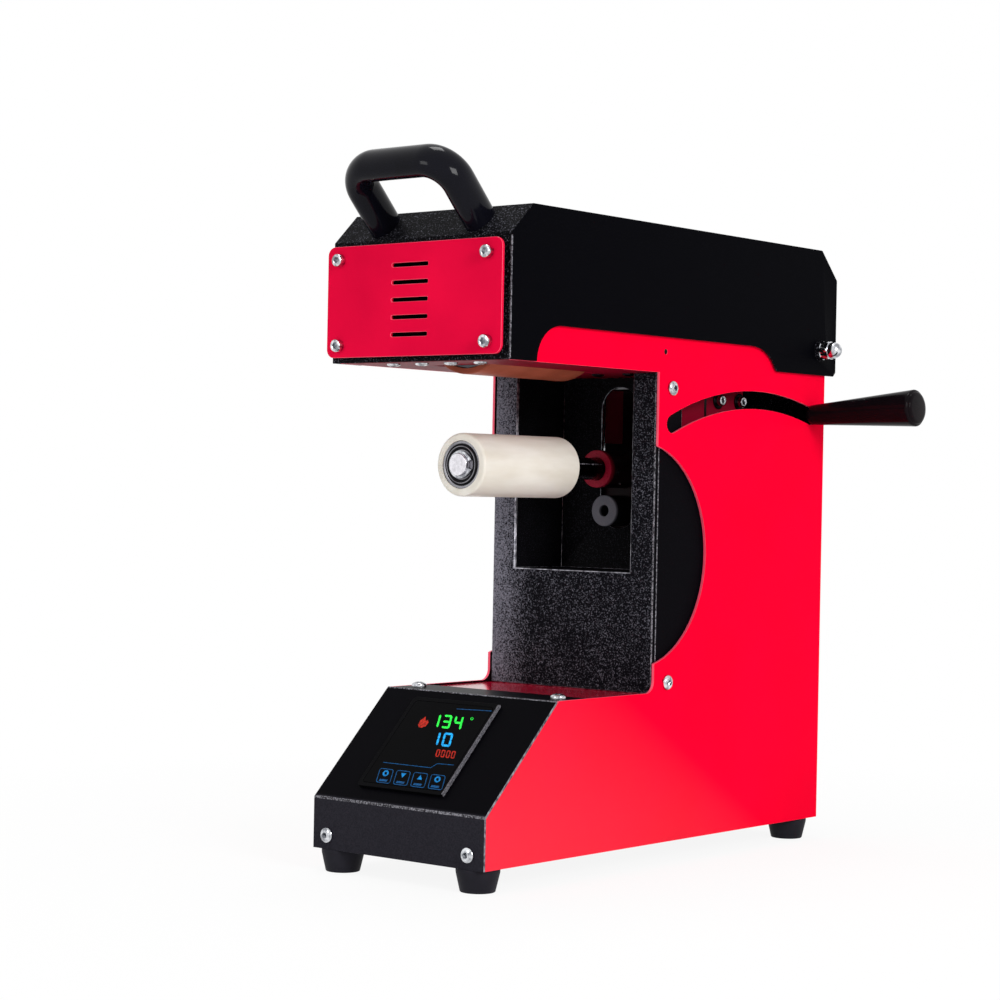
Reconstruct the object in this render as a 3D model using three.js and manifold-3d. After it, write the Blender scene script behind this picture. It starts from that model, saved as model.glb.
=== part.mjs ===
// Roller mug heat press: sheet-metal stand, lifting mug roller, heated drum under a hinged hood.
// Millimetres, +Z up. The front faces -Y and +X is the operator's right.
// Built around the machine's mid-plane (x = 0), its front edge (y = 0) and the bench (z = 0),
// then set down with the middle of its footprint on the origin.

import * as THREE from 'three';
import { mergeVertices } from 'three/addons/utils/BufferGeometryUtils.js';
import Module from 'manifold-3d';

const wasm = await Module();
wasm.setup();

// Driving dimensions

const fitGap = 0.3;
const cutOverrun = 5;
const right = 1;
const left = -1;
const bothSides = [right, left];

const stand = {
  width: 150,
  bottom: 15.5,
  foldRise: 34.5,
  slopeAngle: THREE.MathUtils.degToRad(44.316),
  ridgeFlange: 36,
  panFlange: 12,
  panelThickness: 2,
  sheet: 1.5,
  rearRoom: 19.62,
};

const throat = {
  opening: 222.2,
  faceInset: 0.5,
  nose: 44,
  armHeight: 37.5,
  cutSill: 20.02,
  cutHead: 51.23,
  cutInset: 17.6,
  cornerRadius: 8,
  peepDiameter: 4,
  peepInset: 7,
  peepRise: 14.5,
};

const column = {
  rollerRoom: 18.5,
  flangeDepth: 69.5,
  upperReturn: 31.5,
  upperReturnHeight: 48.5,
  sideGap: 1,
  jamb: 20,
  sillGap: 0.5,
  recessDepth: 53.5,
  slotSideGap: 3,
  slotEndGap: 1.75,
  slotHeadroom: 10.5,
};

const lever = {
  pivotRise: 29.5,
  pivotBehind: 40,
  headRoom: 14.5,
  restLean: THREE.MathUtils.degToRad(14.4),
  swing: THREE.MathUtils.degToRad(30),
  slotWidth: 13,
  slotEndRoom: 17.4,
  slotRunOn: THREE.MathUtils.degToRad(0.3),
  armThickness: 6,
  armInset: 4,
  armTipWidth: 15,
  hubRadius: 19,
  studDiameter: 10,
  studReach: 42,
  studRise: THREE.MathUtils.degToRad(3),
  shaftDiameter: 20,
  shaftOverhang: 2.5,
};

const crank = {
  length: 120,
  restLean: THREE.MathUtils.degToRad(20),
  thickness: 6,
  bossLength: 17,
  hubRadius: 19,
  tipRadius: 12,
  pinDiameter: 8,
  rollerDiameter: 14,
  rollerLength: 6.4,
  washerDiameter: 18,
  washerThickness: 1.6,
};

const carriage = {
  lift: 36,
  sideRoom: 6,
  thickness: 22,
  drop: 49,
  height: 60,
  camThickness: 6,
  camSlotClearance: 0.4,
  camMargin: 9,
  camTailWidth: 26,
  rodInset: 14,
  rodDiameter: 10,
  tubeRest: 6,
  rodRunOn: 2,
  bracketOverlap: 2,
  bracketThickness: 7,
  bracketDrop: 16,
  bracketHeadGap: 1.5,
};

const spindle = {
  shaftDiameter: 16,
  journalStep: 1,
  nose: 3.4,
  tubeDiameter: 27,
  tubeLength: 33,
  flatDepth: 1.2,
  flatBehind: 6,
  flatLength: 14,
  clipRise: 4,
  clipThickness: 1.2,
  bushGap: 5.25,
  bushDiameter: 22.5,
  bushBore: 8.5,
  bushLength: 23,
};

const roller = {
  front: 57.8,
  length: 104.2,
  diameter: 43,
  pressGap: 3.6,
  edgeRadius: 3,
  edgeWallShare: 0.7,
  bore: 26,
  bearingDiameter: 32,
  bearingWidth: 9,
  bearingInset: 0.6,
};

const drum = {
  frontInset: 4.2,
  rearOverlap: 4,
  diameter: 75,
  wall: 4,
  dip: 6,
  edgeRadius: 1,
  hubDiameter: 17,
  discThickness: 6,
  bearingDiameter: 30,
  bearingWidth: 7,
  stubDiameter: 10,
  openingHalf: 27,
  openingEnd: 4,
  heaterDiameter: 10,
  heaterRest: 8,
  terminalDiameter: 14,
  terminalLength: 3,
  cupDiameter: 44,
  cupRim: 4,
  cupWall: 2,
  cupGap: 2.5,
};

const headFrame = {
  floorThickness: 2,
  floorRun: 79,
  bracketThickness: 4,
  bracketInset: 15,
  bracketAbove: 21,
  bracketGap: 6,
  footLength: 22,
  footThickness: 2.2,
  screwFrontInset: 13,
  screwRearInset: 9.5,
  screwPitch: 25.5,
  screwCount: 4,
  screwHeadHeight: 1.8,
  rearSpreadShare: 1.08,
  stayGap: 0.5,
  stayThickness: 2,
  stayOverlap: 15,
  stayRun: 48,
  stayHeight: 46.5,
  stayScrewInset: 5.3,
  stayScrewPitch: 26.9,
  stayScrewDrop: 15.5,
};

const motor = {
  floorGap: 1.5,
  length: 62,
  plateThickness: 3,
  plateHalf: 36,
  plateAbove: 38,
  plateFootLength: 16,
  bracketGap: 44,
  couplingDiameter: 22,
  couplingLength: 26,
  couplingGap: 4,
  shaftDiameter: 8,
  capLength: 18,
  capShare: 0.82,
};

const hood = {
  sideGap: 1.5,
  sheet: 1.5,
  frontOverlap: 5,
  rearOverlap: 10.5,
  rearRise: 7.5,
  frontRise: 81.5,
  crownRise: 20.3,
  rearDrop: 21.3,
  frontChamfer: 21.3,
  rearChamfer: 21.5,
  notchFrontInset: 28,
  notchFrontRun: 26,
  notchRise: 24.5,
  notchRearRun: 34,
  notchRearInset: 70,
  notchBendShare: 0.5,
  notchTurnShare: 0.8,
  notchFallShare: 0.75,
  lipDepth: 5,
  lipInset: 5.5,
  ventOpeningHalf: 30,
  ventOpeningLow: 7.5,
  ventOpeningHigh: 6,
  rearCornerRadius: 3,
};

const hinge = {
  rearInset: 12,
  armInset: 11.4,
  axleDiameter: 8,
  bossDiameter: 16,
  bossRise: 3,
  nutAcrossFlats: 13,
  nutHexLength: 6.5,
  nutDomeLength: 8.5,
  nutDomeShare: 0.94,
};

const vent = {
  sideInset: 1.5,
  lowInset: 3.2,
  highInset: 3.6,
  thickness: 2,
  standoffLength: 5.4,
  standoffDiameter: 8,
  cornerRadius: 6,
  slotCount: 5,
  slotPitch: 11.5,
  slotLength: 32,
  slotHeight: 2.8,
  slotCornerShare: 0.33,
  slotCentre: -2.5,
  slotTopInset: 14.4,
  screwInsetSide: 11.5,
  screwInsetLow: 8.1,
  screwInsetHigh: 9.3,
  screwHeadDiameter: 8.5,
  screwHeadLength: 4.5,
  screwStem: 5,
};

const handle = {
  lean: THREE.MathUtils.degToRad(44.3),
  legSpacing: 83,
  height: 49.9,
  bendRadius: 21.7,
  width: 25.4,
  thickness: 19,
  rootDepthShare: 0.523,
  rootSink: 16,
};

const controller = {
  centre: -5,
  width: 76,
  height: 80,
  slopeStart: 12,
  slopeEnd: 8.63,
  bezelProud: 2,
  bezelRim: 3,
  cornerRadius: 3,
  bodyInset: 4,
  bodyDepth: 34,
  lensThickness: 1.6,
};

const screw = {
  headDiameter: 10.5,
  headHeight: 3.3,
  rimShare: 0.35,
  sink: 0.5,
  edgeInset: 13,
  frontRise: 9.5,
  ridgeInset: 18,
  columnInset: 14.5,
  columnRise: 6.7,
};

const leverBearing = {
  sideInset: 21,
  thickness: 15,
  footSpread: 10,
  footRise: 9,
};

const foot = {
  topDiameter: 29,
  bottomDiameter: 23,
  sideInset: 15.5,
  frontInset: 13,
  rearInset: 17,
  seatThickness: 2.5,
};

const grip = {
  gap: 1.5,
  neckDiameter: 14.8,
  bellyAt: 42,
  bellyDiameter: 20.6,
  endDiameter: 27,
  length: 91.5,
  fullAt: 85,
  edge: 1.5,
  capDiameter: 23.5,
  capThickness: 1.6,
};

const rear = {
  coverRise: 1.5,
  inletInset: 33,
  inletRise: 36.5,
  inletWidth: 27,
  inletOpening: 20,
  inletFlange: 4,
  inletDepth: 22,
  inletWall: 2.2,
  pinWidth: 2,
  pinHeight: 4,
  pinLength: 14,
  pinPitch: 7,
  switchX: 0,
  switchHalfWidth: 11,
  switchHalfHeight: 17,
  switchRim: 3,
  switchFlange: 2.5,
  switchDepth: 18,
  rockerTilt: THREE.MathUtils.degToRad(8),
  rockerProud: 4.2,
  rockerDip: 2,
  rockerHalf: 11,
  rockerBack: 6,
  rockerPivotSink: 3,
  slotCount: 6,
  slotPitch: 10,
  slotLength: 60,
  slotHeight: 4,
  slotCornerShare: 0.33,
  slotTopInset: 50,
};

const board = {
  ridgeGap: 48,
  length: 90,
  halfWidth: 45,
  postHeight: 6,
  postDiameter: 7,
  thickness: 1.6,
  relayWidth: 30,
  relayLength: 44,
  relayHeight: 22,
  supplyWidth: 34,
  supplyLength: 60,
  supplyHeight: 28,
  edge: 6,
};

// Finishes

const finishes = {
  redPaint: { color: 0xe3052e, roughness: 0.32, metalness: 0.0 },
  darkRedPaint: { color: 0x8c0c22, roughness: 0.4, metalness: 0.0 },
  blackTexturedPaint: { color: 0x17161a, roughness: 0.62, metalness: 0.0 },
  blackGloss: { color: 0x0b0b0e, roughness: 0.14, metalness: 0.0 },
  blackPlastic: { color: 0x141416, roughness: 0.42, metalness: 0.0 },
  creamNylon: { color: 0xe9dcc3, roughness: 0.48, metalness: 0.0 },
  brownPtfe: { color: 0x9a4a33, roughness: 0.42, metalness: 0.0 },
  chrome: { color: 0xd8dade, roughness: 0.16, metalness: 1.0 },
  steel: { color: 0x9a9ca0, roughness: 0.34, metalness: 1.0 },
  blackOxide: { color: 0x232327, roughness: 0.4, metalness: 0.8 },
  aluminium: { color: 0xb9bbbf, roughness: 0.38, metalness: 1.0 },
  bronze: { color: 0xa98045, roughness: 0.4, metalness: 1.0 },
  rubber: { color: 0x1b1a1c, roughness: 0.8, metalness: 0.0 },
  circuitGreen: { color: 0x1d5a35, roughness: 0.5, metalness: 0.0 },
};

// Places worked out from the driving dimensions

// Across
const panelOuter = stand.width / 2;
const panelInner = panelOuter - stand.panelThickness;
const innerFit = panelInner - fitGap;
const sheetFit = stand.sheet + fitGap;
const columnHalf = panelInner - column.sideGap;
const windowHalf = columnHalf - column.jamb;
const blockHalf = windowHalf - carriage.sideRoom;
const guideHalf = windowHalf + carriage.bracketOverlap;
const rodX = blockHalf - carriage.rodInset;
const stayX = windowHalf + stand.sheet + headFrame.stayGap + headFrame.stayThickness;
const armOuterX = panelInner - lever.armInset;
const armInnerX = armOuterX - lever.armThickness;
const camHalf = carriage.camThickness / 2;
const crankNearX = camHalf + stand.sheet;
const crankFarX = crankNearX + crank.thickness;
const gripX = panelOuter + grip.gap;
const hoodInner = panelOuter + hood.sideGap;
const hoodHalf = hoodInner + hood.sheet;
const ventHalf = hoodHalf - vent.sideInset;
const nutStart = hoodHalf + hinge.bossRise + fitGap;

// From the front to the back
const slopeLength = controller.slopeStart + controller.height + controller.slopeEnd;
const ridgeDepth = slopeLength * Math.cos(stand.slopeAngle);
const rollerRear = roller.front + roller.length;
const drumFront = roller.front + drum.frontInset;
const drumRear = rollerRear + drum.rearOverlap;
const armFront = drumFront - throat.nose;
const hoodFront = armFront - hood.frontOverlap;
const frontBracketRear = drumFront - headFrame.bracketGap;
const rearBracketFront = drumRear + headFrame.bracketGap;
const motorFront = rearBracketFront + motor.bracketGap;
const columnFace = rollerRear + column.rollerRoom;
const faceDepth = columnFace - throat.faceInset;
const recessFront = columnFace + stand.sheet;
const recessBack = recessFront + column.recessDepth;
const recessRear = recessBack + stand.sheet;
const blockFront = recessRear + column.sideGap + 2 * stand.sheet;
const blockRear = blockFront + carriage.thickness;
const rodDepth = (blockFront + blockRear) / 2;
const pivotDepth = blockRear + lever.pivotBehind;

// From the bench up
const panTop = stand.bottom + stand.sheet;
const foldHeight = stand.bottom + stand.foldRise;
const ridgeHeight = foldHeight + slopeLength * Math.sin(stand.slopeAngle);
const deckTop = ridgeHeight - stand.sheet;
const headHeight = ridgeHeight + throat.opening;
const floorTop = headHeight + headFrame.floorThickness;
const armTop = headHeight + throat.armHeight;
const pivotHeight = stand.bottom + lever.pivotRise;
const gripRadius = headHeight - lever.headRoom - pivotHeight;
const drumHeight = headHeight - drum.dip + drum.diameter / 2;
const drumBore = drum.diameter / 2 - drum.wall;
const motorRadius = drumHeight - floorTop - motor.floorGap;
const rollerTop = headHeight - drum.dip - roller.pressGap - carriage.lift;
const spindleHeight = rollerTop - roller.diameter / 2;
const bushHeight = spindleHeight - (spindle.tubeDiameter + spindle.bushDiameter) / 2 - spindle.bushGap;
const blockBottom = spindleHeight - carriage.drop;
const blockTop = blockBottom + carriage.height;
const guideLower = blockBottom - carriage.bracketDrop - carriage.bracketThickness;
const guideUpper = headHeight - carriage.bracketHeadGap - carriage.bracketThickness;
const windowSill = guideLower - column.sillGap;

const inletX = rear.inletInset - panelOuter;
const inletHeight = stand.bottom + rear.inletRise;

// Behind the lever
const standDepth = pivotDepth + gripRadius * Math.sin(lever.restLean) + stand.rearRoom;
const hoodRear = standDepth + hood.rearOverlap;
const hingeDepth = standDepth - hinge.rearInset;
const hingeHeight = armTop - hinge.armInset;
const hoodShoulder = headHeight + hood.frontRise;
const hoodTop = hoodShoulder + hood.crownRise;
const ventBottom = headHeight + vent.lowInset;
const ventTop = hoodShoulder - vent.highInset;

const press = new THREE.Group();

// Shape helpers

function shapeOf(points) {
  return new THREE.Shape(points.map(([u, v]) => new THREE.Vector2(u, v)));
}

function rectangle(uMin, vMin, uMax, vMax) {
  return shapeOf([[uMin, vMin], [uMax, vMin], [uMax, vMax], [uMin, vMax]]);
}

function roundedRectangle(uMin, vMin, uMax, vMax, radius) {
  const shape = new THREE.Shape();
  shape.absarc(uMax - radius, vMin + radius, radius, -Math.PI / 2, 0);
  shape.absarc(uMax - radius, vMax - radius, radius, 0, Math.PI / 2);
  shape.absarc(uMin + radius, vMax - radius, radius, Math.PI / 2, Math.PI);
  shape.absarc(uMin + radius, vMin + radius, radius, Math.PI, 1.5 * Math.PI);
  return shape;
}

function disc(u, v, diameter) {
  const shape = new THREE.Shape();
  shape.absarc(u, v, diameter / 2, 0, 2 * Math.PI);
  return shape;
}

// A tapered bar with round ends, from one circle to another.
function linkShape(from, fromRadius, to, toRadius) {
  const along = Math.atan2(to[1] - from[1], to[0] - from[0]);
  const reach = Math.hypot(to[0] - from[0], to[1] - from[1]);
  const open = Math.acos((fromRadius - toRadius) / reach);
  const shape = new THREE.Shape();
  shape.absarc(to[0], to[1], toRadius, along - open, along + open);
  shape.absarc(from[0], from[1], fromRadius, along + open, along - open + 2 * Math.PI);
  return shape;
}

// A band of constant width along a line of points, with round ends.
function bandShape(points, width, capSteps) {
  const half = width / 2;
  const count = points.length;
  const headings = points.map((point, i) => {
    const before = points[Math.max(i - 1, 0)];
    const after = points[Math.min(i + 1, count - 1)];
    return Math.atan2(after[1] - before[1], after[0] - before[0]);
  });
  const outline = [];
  points.forEach(([u, v], i) => {
    const side = headings[i] - Math.PI / 2;
    outline.push([u + half * Math.cos(side), v + half * Math.sin(side)]);
  });
  for (let k = 1; k < capSteps; k += 1) {
    const turn = headings[count - 1] - Math.PI / 2 + (Math.PI * k) / capSteps;
    const [u, v] = points[count - 1];
    outline.push([u + half * Math.cos(turn), v + half * Math.sin(turn)]);
  }
  for (let i = count - 1; i >= 0; i -= 1) {
    const side = headings[i] + Math.PI / 2;
    outline.push([points[i][0] + half * Math.cos(side), points[i][1] + half * Math.sin(side)]);
  }
  for (let k = 1; k < capSteps; k += 1) {
    const turn = headings[0] + Math.PI / 2 + (Math.PI * k) / capSteps;
    outline.push([points[0][0] + half * Math.cos(turn), points[0][1] + half * Math.sin(turn)]);
  }
  return shapeOf(outline);
}

// Solid helpers

const axisX = new THREE.Vector3(1, 0, 0);
const axisY = new THREE.Vector3(0, 1, 0);
const axisZ = new THREE.Vector3(0, 0, 1);

function extruded(shape, depth, curveSegments) {
  return new THREE.ExtrudeGeometry(shape, { depth, bevelEnabled: false, curveSegments });
}

// Shape in (y, z), carried along X.
function alongX(shape, xStart, xEnd, curveSegments = 12) {
  const geometry = extruded(shape, xEnd - xStart, curveSegments);
  const place = new THREE.Matrix4().makeBasis(axisY, axisZ, axisX).setPosition(xStart, 0, 0);
  return geometry.applyMatrix4(place);
}

// Shape in (x, z), carried along Y.
function alongY(shape, yStart, yEnd, curveSegments = 12) {
  const geometry = extruded(shape, yEnd - yStart, curveSegments);
  const backwards = axisY.clone().negate();
  const place = new THREE.Matrix4().makeBasis(axisX, axisZ, backwards).setPosition(0, yEnd, 0);
  return geometry.applyMatrix4(place);
}

// Shape in (x, y), carried along Z.
function alongZ(shape, zStart, zEnd, curveSegments = 12) {
  return extruded(shape, zEnd - zStart, curveSegments).translate(0, 0, zStart);
}

function signedVolume(geometry) {
  const position = geometry.getAttribute('position');
  const index = geometry.getIndex();
  const a = new THREE.Vector3();
  const b = new THREE.Vector3();
  const c = new THREE.Vector3();
  let total = 0;
  for (let i = 0; i < index.count; i += 3) {
    a.fromBufferAttribute(position, index.getX(i));
    b.fromBufferAttribute(position, index.getX(i + 1));
    c.fromBufferAttribute(position, index.getX(i + 2));
    total += a.dot(b.cross(c));
  }
  return total;
}

// Joins shared corners and turns the faces outwards.
function closed(geometry) {
  const bare = geometry.clone();
  bare.deleteAttribute('normal');
  bare.deleteAttribute('uv');
  const merged = mergeVertices(bare);
  if (signedVolume(merged) < 0) {
    const index = merged.getIndex();
    for (let i = 0; i < index.count; i += 3) {
      const first = index.getX(i);
      index.setX(i, index.getX(i + 1));
      index.setX(i + 1, first);
    }
  }
  return merged;
}

function toSolid(geometry) {
  const merged = closed(geometry);
  return new wasm.Manifold(new wasm.Mesh({
    numProp: 3,
    vertProperties: new Float32Array(merged.getAttribute('position').array),
    triVerts: new Uint32Array(merged.getIndex().array),
  }));
}

function toGeometry(solid) {
  const mesh = solid.getMesh();
  const geometry = new THREE.BufferGeometry();
  geometry.setAttribute('position', new THREE.BufferAttribute(mesh.vertProperties, 3));
  geometry.setIndex(new THREE.BufferAttribute(mesh.triVerts, 1));
  return geometry;
}

function cut(geometry, ...tools) {
  let solid = toSolid(geometry);
  tools.forEach((tool) => {
    solid = solid.subtract(toSolid(tool));
  });
  return toGeometry(solid);
}

function joined(...geometries) {
  let solid = toSolid(geometries[0]);
  geometries.slice(1).forEach((geometry) => {
    solid = solid.add(toSolid(geometry));
  });
  return toGeometry(solid);
}

// A turned piece: pairs of place along the axis and radius, around the given axis and centre.
function turned(axis, profile, centre, segments = 18) {
  const points = profile.map(([along, radius]) => new THREE.Vector2(radius, along));
  const geometry = new THREE.LatheGeometry(points, segments);
  if (axis === 'x') geometry.rotateZ(-Math.PI / 2);
  if (axis === 'z') geometry.rotateX(Math.PI / 2);
  return closed(geometry.translate(...centre));
}

function rod(axis, start, end, diameter, centre, segments = 18) {
  const radius = diameter / 2;
  const profile = [[start, 0], [start, radius], [end, radius], [end, 0]];
  return turned(axis, profile, centre, segments);
}

function ring(axis, start, end, outer, inner, centre, segments = 18) {
  const outerRadius = outer / 2;
  const innerRadius = inner / 2;
  const profile = [
    [start, innerRadius],
    [start, outerRadius],
    [end, outerRadius],
    [end, innerRadius],
    [start, innerRadius],
  ];
  return turned(axis, profile, centre, segments);
}

function mirrored(geometry) {
  return closed(geometry.clone().scale(-1, 1, 1));
}

function sided(geometry, side) {
  return side === right ? geometry : mirrored(geometry);
}

function sideName(side) {
  return side === right ? 'right' : 'left';
}

function addPiece(name, geometry, finish, parent = press) {
  const mesh = new THREE.Mesh(closed(geometry), new THREE.MeshStandardMaterial(finish));
  mesh.name = name;
  parent.add(mesh);
  return mesh;
}

// A button-head screw: low domed head with its stem going the other way.
function buttonScrew(axis, seat, direction, centre, height = screw.headHeight) {
  const radius = screw.headDiameter / 2;
  const rim = height * screw.rimShare;
  const profile = [[-screw.sink, 0], [-screw.sink, radius], [rim, radius]];
  const domeSteps = 2;
  for (let k = 1; k < domeSteps; k += 1) {
    const turn = (Math.PI / 2) * (k / domeSteps);
    const rise = rim + (height - rim) * Math.sin(turn);
    profile.push([rise, radius * Math.cos(turn)]);
  }
  profile.push([height, 0]);
  const placed = profile.map(([along, size]) => [seat + direction * along, size]);
  return turned(axis, placed, centre, 12);
}

// Stand: side panels, base, deck and column

function leverPoint(lean, radius) {
  return [
    pivotDepth + radius * Math.sin(lean),
    pivotHeight + radius * Math.cos(lean),
  ];
}

function arcSlotShape() {
  const first = lever.restLean + lever.slotRunOn;
  const slotEnd = pivotDepth - faceDepth - lever.slotEndRoom;
  const last = -Math.asin(slotEnd / gripRadius) - lever.slotRunOn;
  const steps = 14;
  const points = [];
  for (let i = 0; i <= steps; i += 1) {
    points.push(leverPoint(first + ((last - first) * i) / steps, gripRadius));
  }
  return bandShape(points, lever.slotWidth, 6);
}

function sidePanelOutline() {
  const slopeRise = ridgeHeight - foldHeight;
  const foldShift = (sheetFit * (slopeLength - slopeRise)) / ridgeDepth;
  const ridgeShift = sheetFit * (slopeLength / slopeRise);
  const chord = throat.cutInset;
  const rise = (throat.opening - throat.cutSill - throat.cutHead) / 2;
  const cutRadius = Math.hypot(chord, rise);
  const cutDepth = faceDepth - chord;
  const cutHeight = ridgeHeight + throat.cutSill + rise;
  const start = Math.atan2(-rise, chord);
  const end = Math.atan2(rise, chord);
  const shape = new THREE.Shape();
  shape.moveTo(sheetFit, stand.bottom);
  shape.lineTo(standDepth, stand.bottom);
  shape.lineTo(standDepth, armTop);
  shape.lineTo(armFront, armTop);
  shape.lineTo(armFront, headHeight);
  shape.lineTo(faceDepth, headHeight);
  shape.lineTo(faceDepth, cutHeight + rise + throat.cornerRadius / 2);
  shape.absarc(cutDepth, cutHeight, cutRadius, end, start, true);
  shape.lineTo(faceDepth, ridgeHeight + throat.cornerRadius);
  shape.absarc(
    faceDepth - throat.cornerRadius,
    ridgeHeight + throat.cornerRadius,
    throat.cornerRadius,
    0,
    -Math.PI / 2,
    true,
  );
  shape.lineTo(ridgeDepth + ridgeShift, ridgeHeight);
  shape.lineTo(sheetFit, foldHeight - foldShift);
  return shape;
}

function panelScrewHeights() {
  return [headHeight - screw.headDiameter, ridgeHeight + screw.columnRise];
}

function addSidePanels() {
  bothSides.forEach((side) => {
    const outline = sidePanelOutline();
    const tools = [
      rod('x', panelInner - cutOverrun, panelOuter + cutOverrun, hinge.axleDiameter + 2 * fitGap,
        [0, hingeDepth, hingeHeight]),
    ];
    tools.push(rod('x', panelInner - cutOverrun, panelOuter + cutOverrun, throat.peepDiameter,
      [0, (faceDepth + throat.peepInset), (headHeight + throat.peepRise)], 12));
    if (side === right) {
      tools.push(alongX(arcSlotShape(), panelInner - cutOverrun, panelOuter + cutOverrun));
    }
    const panel = cut(alongX(outline, panelInner, panelOuter, 16), ...tools);
    const screws = panelScrewHeights().map((z) => buttonScrew(
      'x', panelOuter, 1, [0, columnFace + screw.columnInset, z]));
    const finished = joined(panel, ...screws);
    addPiece(`side_panel_${sideName(side)}`, sided(finished, side), finishes.redPaint);
  });
}

function addControlCover() {
  const slopeRise = ridgeHeight - foldHeight;
  const flange = stand.ridgeFlange;
  const foldShift = (stand.sheet * (slopeLength - slopeRise)) / ridgeDepth;
  const ridgeShift = (stand.sheet * (slopeLength - ridgeDepth)) / slopeRise;
  const profile = shapeOf([
    [0, stand.bottom],
    [stand.sheet, stand.bottom],
    [stand.sheet, foldHeight - foldShift],
    [ridgeDepth + ridgeShift, ridgeHeight - stand.sheet],
    [ridgeDepth + flange, ridgeHeight - stand.sheet],
    [ridgeDepth + flange, ridgeHeight],
    [ridgeDepth, ridgeHeight],
    [0, foldHeight],
  ]);
  const sheet = alongX(profile, -panelOuter, panelOuter);
  const sideTrims = bothSides.map((side) => sided(alongX(
    rectangle(
      ridgeDepth + fitGap,
      ridgeHeight - cutOverrun,
      ridgeDepth + flange + cutOverrun,
      ridgeHeight + cutOverrun,
    ),
    innerFit,
    panelOuter + cutOverrun,
  ), side));
  const opening = roundedRectangle(
    controller.centre - controller.width / 2 + controller.bodyInset,
    controller.slopeStart + controller.bodyInset,
    controller.centre + controller.width / 2 - controller.bodyInset,
    controller.slopeStart + controller.height - controller.bodyInset,
    controller.cornerRadius,
  );
  const windowTool = alongZ(opening, -cutOverrun, cutOverrun, 4);
  windowTool.rotateX(slopeAngle());
  windowTool.translate(0, 0, foldHeight);
  const across = panelOuter - screw.edgeInset;
  const screws = bothSides.flatMap((side) => [
    buttonScrew('y', 0, -1, [side * across, 0, stand.bottom + screw.frontRise]),
    buttonScrew('z', ridgeHeight, 1, [side * across, ridgeDepth + screw.ridgeInset, 0]),
  ]);
  addPiece(
    'control_cover',
    joined(cut(sheet, ...sideTrims, windowTool), ...screws),
    finishes.blackTexturedPaint,
  );
}

function slopeAngle() {
  return stand.slopeAngle;
}

// Local frame of the sloping control face: x across, y up the slope, z out of the face.
function addController() {
  const face = new THREE.Group();
  face.position.set(0, 0, foldHeight);
  face.rotation.x = slopeAngle();
  press.add(face);
  const xMin = controller.centre - controller.width / 2;
  const xMax = controller.centre + controller.width / 2;
  const yMin = controller.slopeStart;
  const yMax = controller.slopeStart + controller.height;
  const rim = controller.bezelRim;
  const inset = controller.bodyInset + fitGap;
  const bezelTop = fitGap + controller.bezelProud;
  const bezel = alongZ(
    roundedRectangle(xMin, yMin, xMax, yMax, controller.cornerRadius),
    fitGap,
    bezelTop,
    4,
  );
  const housing = alongZ(
    roundedRectangle(xMin + inset, yMin + inset, xMax - inset, yMax - inset, controller.cornerRadius),
    -controller.bodyDepth,
    bezelTop - controller.lensThickness / 2,
    4,
  );
  const pocket = alongZ(
    roundedRectangle(xMin + rim, yMin + rim, xMax - rim, yMax - rim, controller.cornerRadius),
    bezelTop - controller.lensThickness,
    bezelTop + cutOverrun,
    4,
  );
  addPiece('controller_housing', cut(joined(bezel, housing), pocket), finishes.blackPlastic, face);
  const lensRim = rim + fitGap;
  const lens = alongZ(
    roundedRectangle(
      xMin + lensRim,
      yMin + lensRim,
      xMax - lensRim,
      yMax - lensRim,
      controller.cornerRadius - fitGap,
    ),
    bezelTop - controller.lensThickness + fitGap,
    bezelTop,
    4,
  );
  addPiece('controller_lens', lens, finishes.blackGloss, face);
}

function addBase() {
  const flange = stand.panFlange;
  const pan = shapeOf([
    [-innerFit, stand.bottom],
    [innerFit, stand.bottom],
    [innerFit, stand.bottom + flange],
    [innerFit - stand.sheet, stand.bottom + flange],
    [innerFit - stand.sheet, panTop],
    [-innerFit + stand.sheet, panTop],
    [-innerFit + stand.sheet, stand.bottom + flange],
    [-innerFit, stand.bottom + flange],
  ]);
  addPiece(
    'base_pan',
    alongY(pan, sheetFit, standDepth - sheetFit),
    finishes.blackTexturedPaint,
  );
  const deck = rectangle(-innerFit, ridgeDepth + 2 * sheetFit, innerFit, recessRear);
  addPiece(
    'deck_plate',
    alongZ(deck, deckTop - stand.sheet, deckTop),
    finishes.redPaint,
  );
}

function addFeet() {
  const across = panelOuter - foot.sideInset;
  const places = [
    ['foot_front_right', across, foot.frontInset],
    ['foot_front_left', -across, foot.frontInset],
    ['foot_rear_right', across, standDepth - foot.rearInset],
    ['foot_rear_left', -across, standDepth - foot.rearInset],
  ];
  const profile = [
    [0, 0],
    [0, foot.bottomDiameter / 2],
    [stand.bottom - foot.seatThickness, foot.topDiameter / 2],
    [stand.bottom, foot.topDiameter / 2],
    [stand.bottom, 0],
  ];
  places.forEach(([name, x, y]) => {
    addPiece(name, turned('z', profile, [x, y, 0], 18), finishes.rubber);
  });
}

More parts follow.
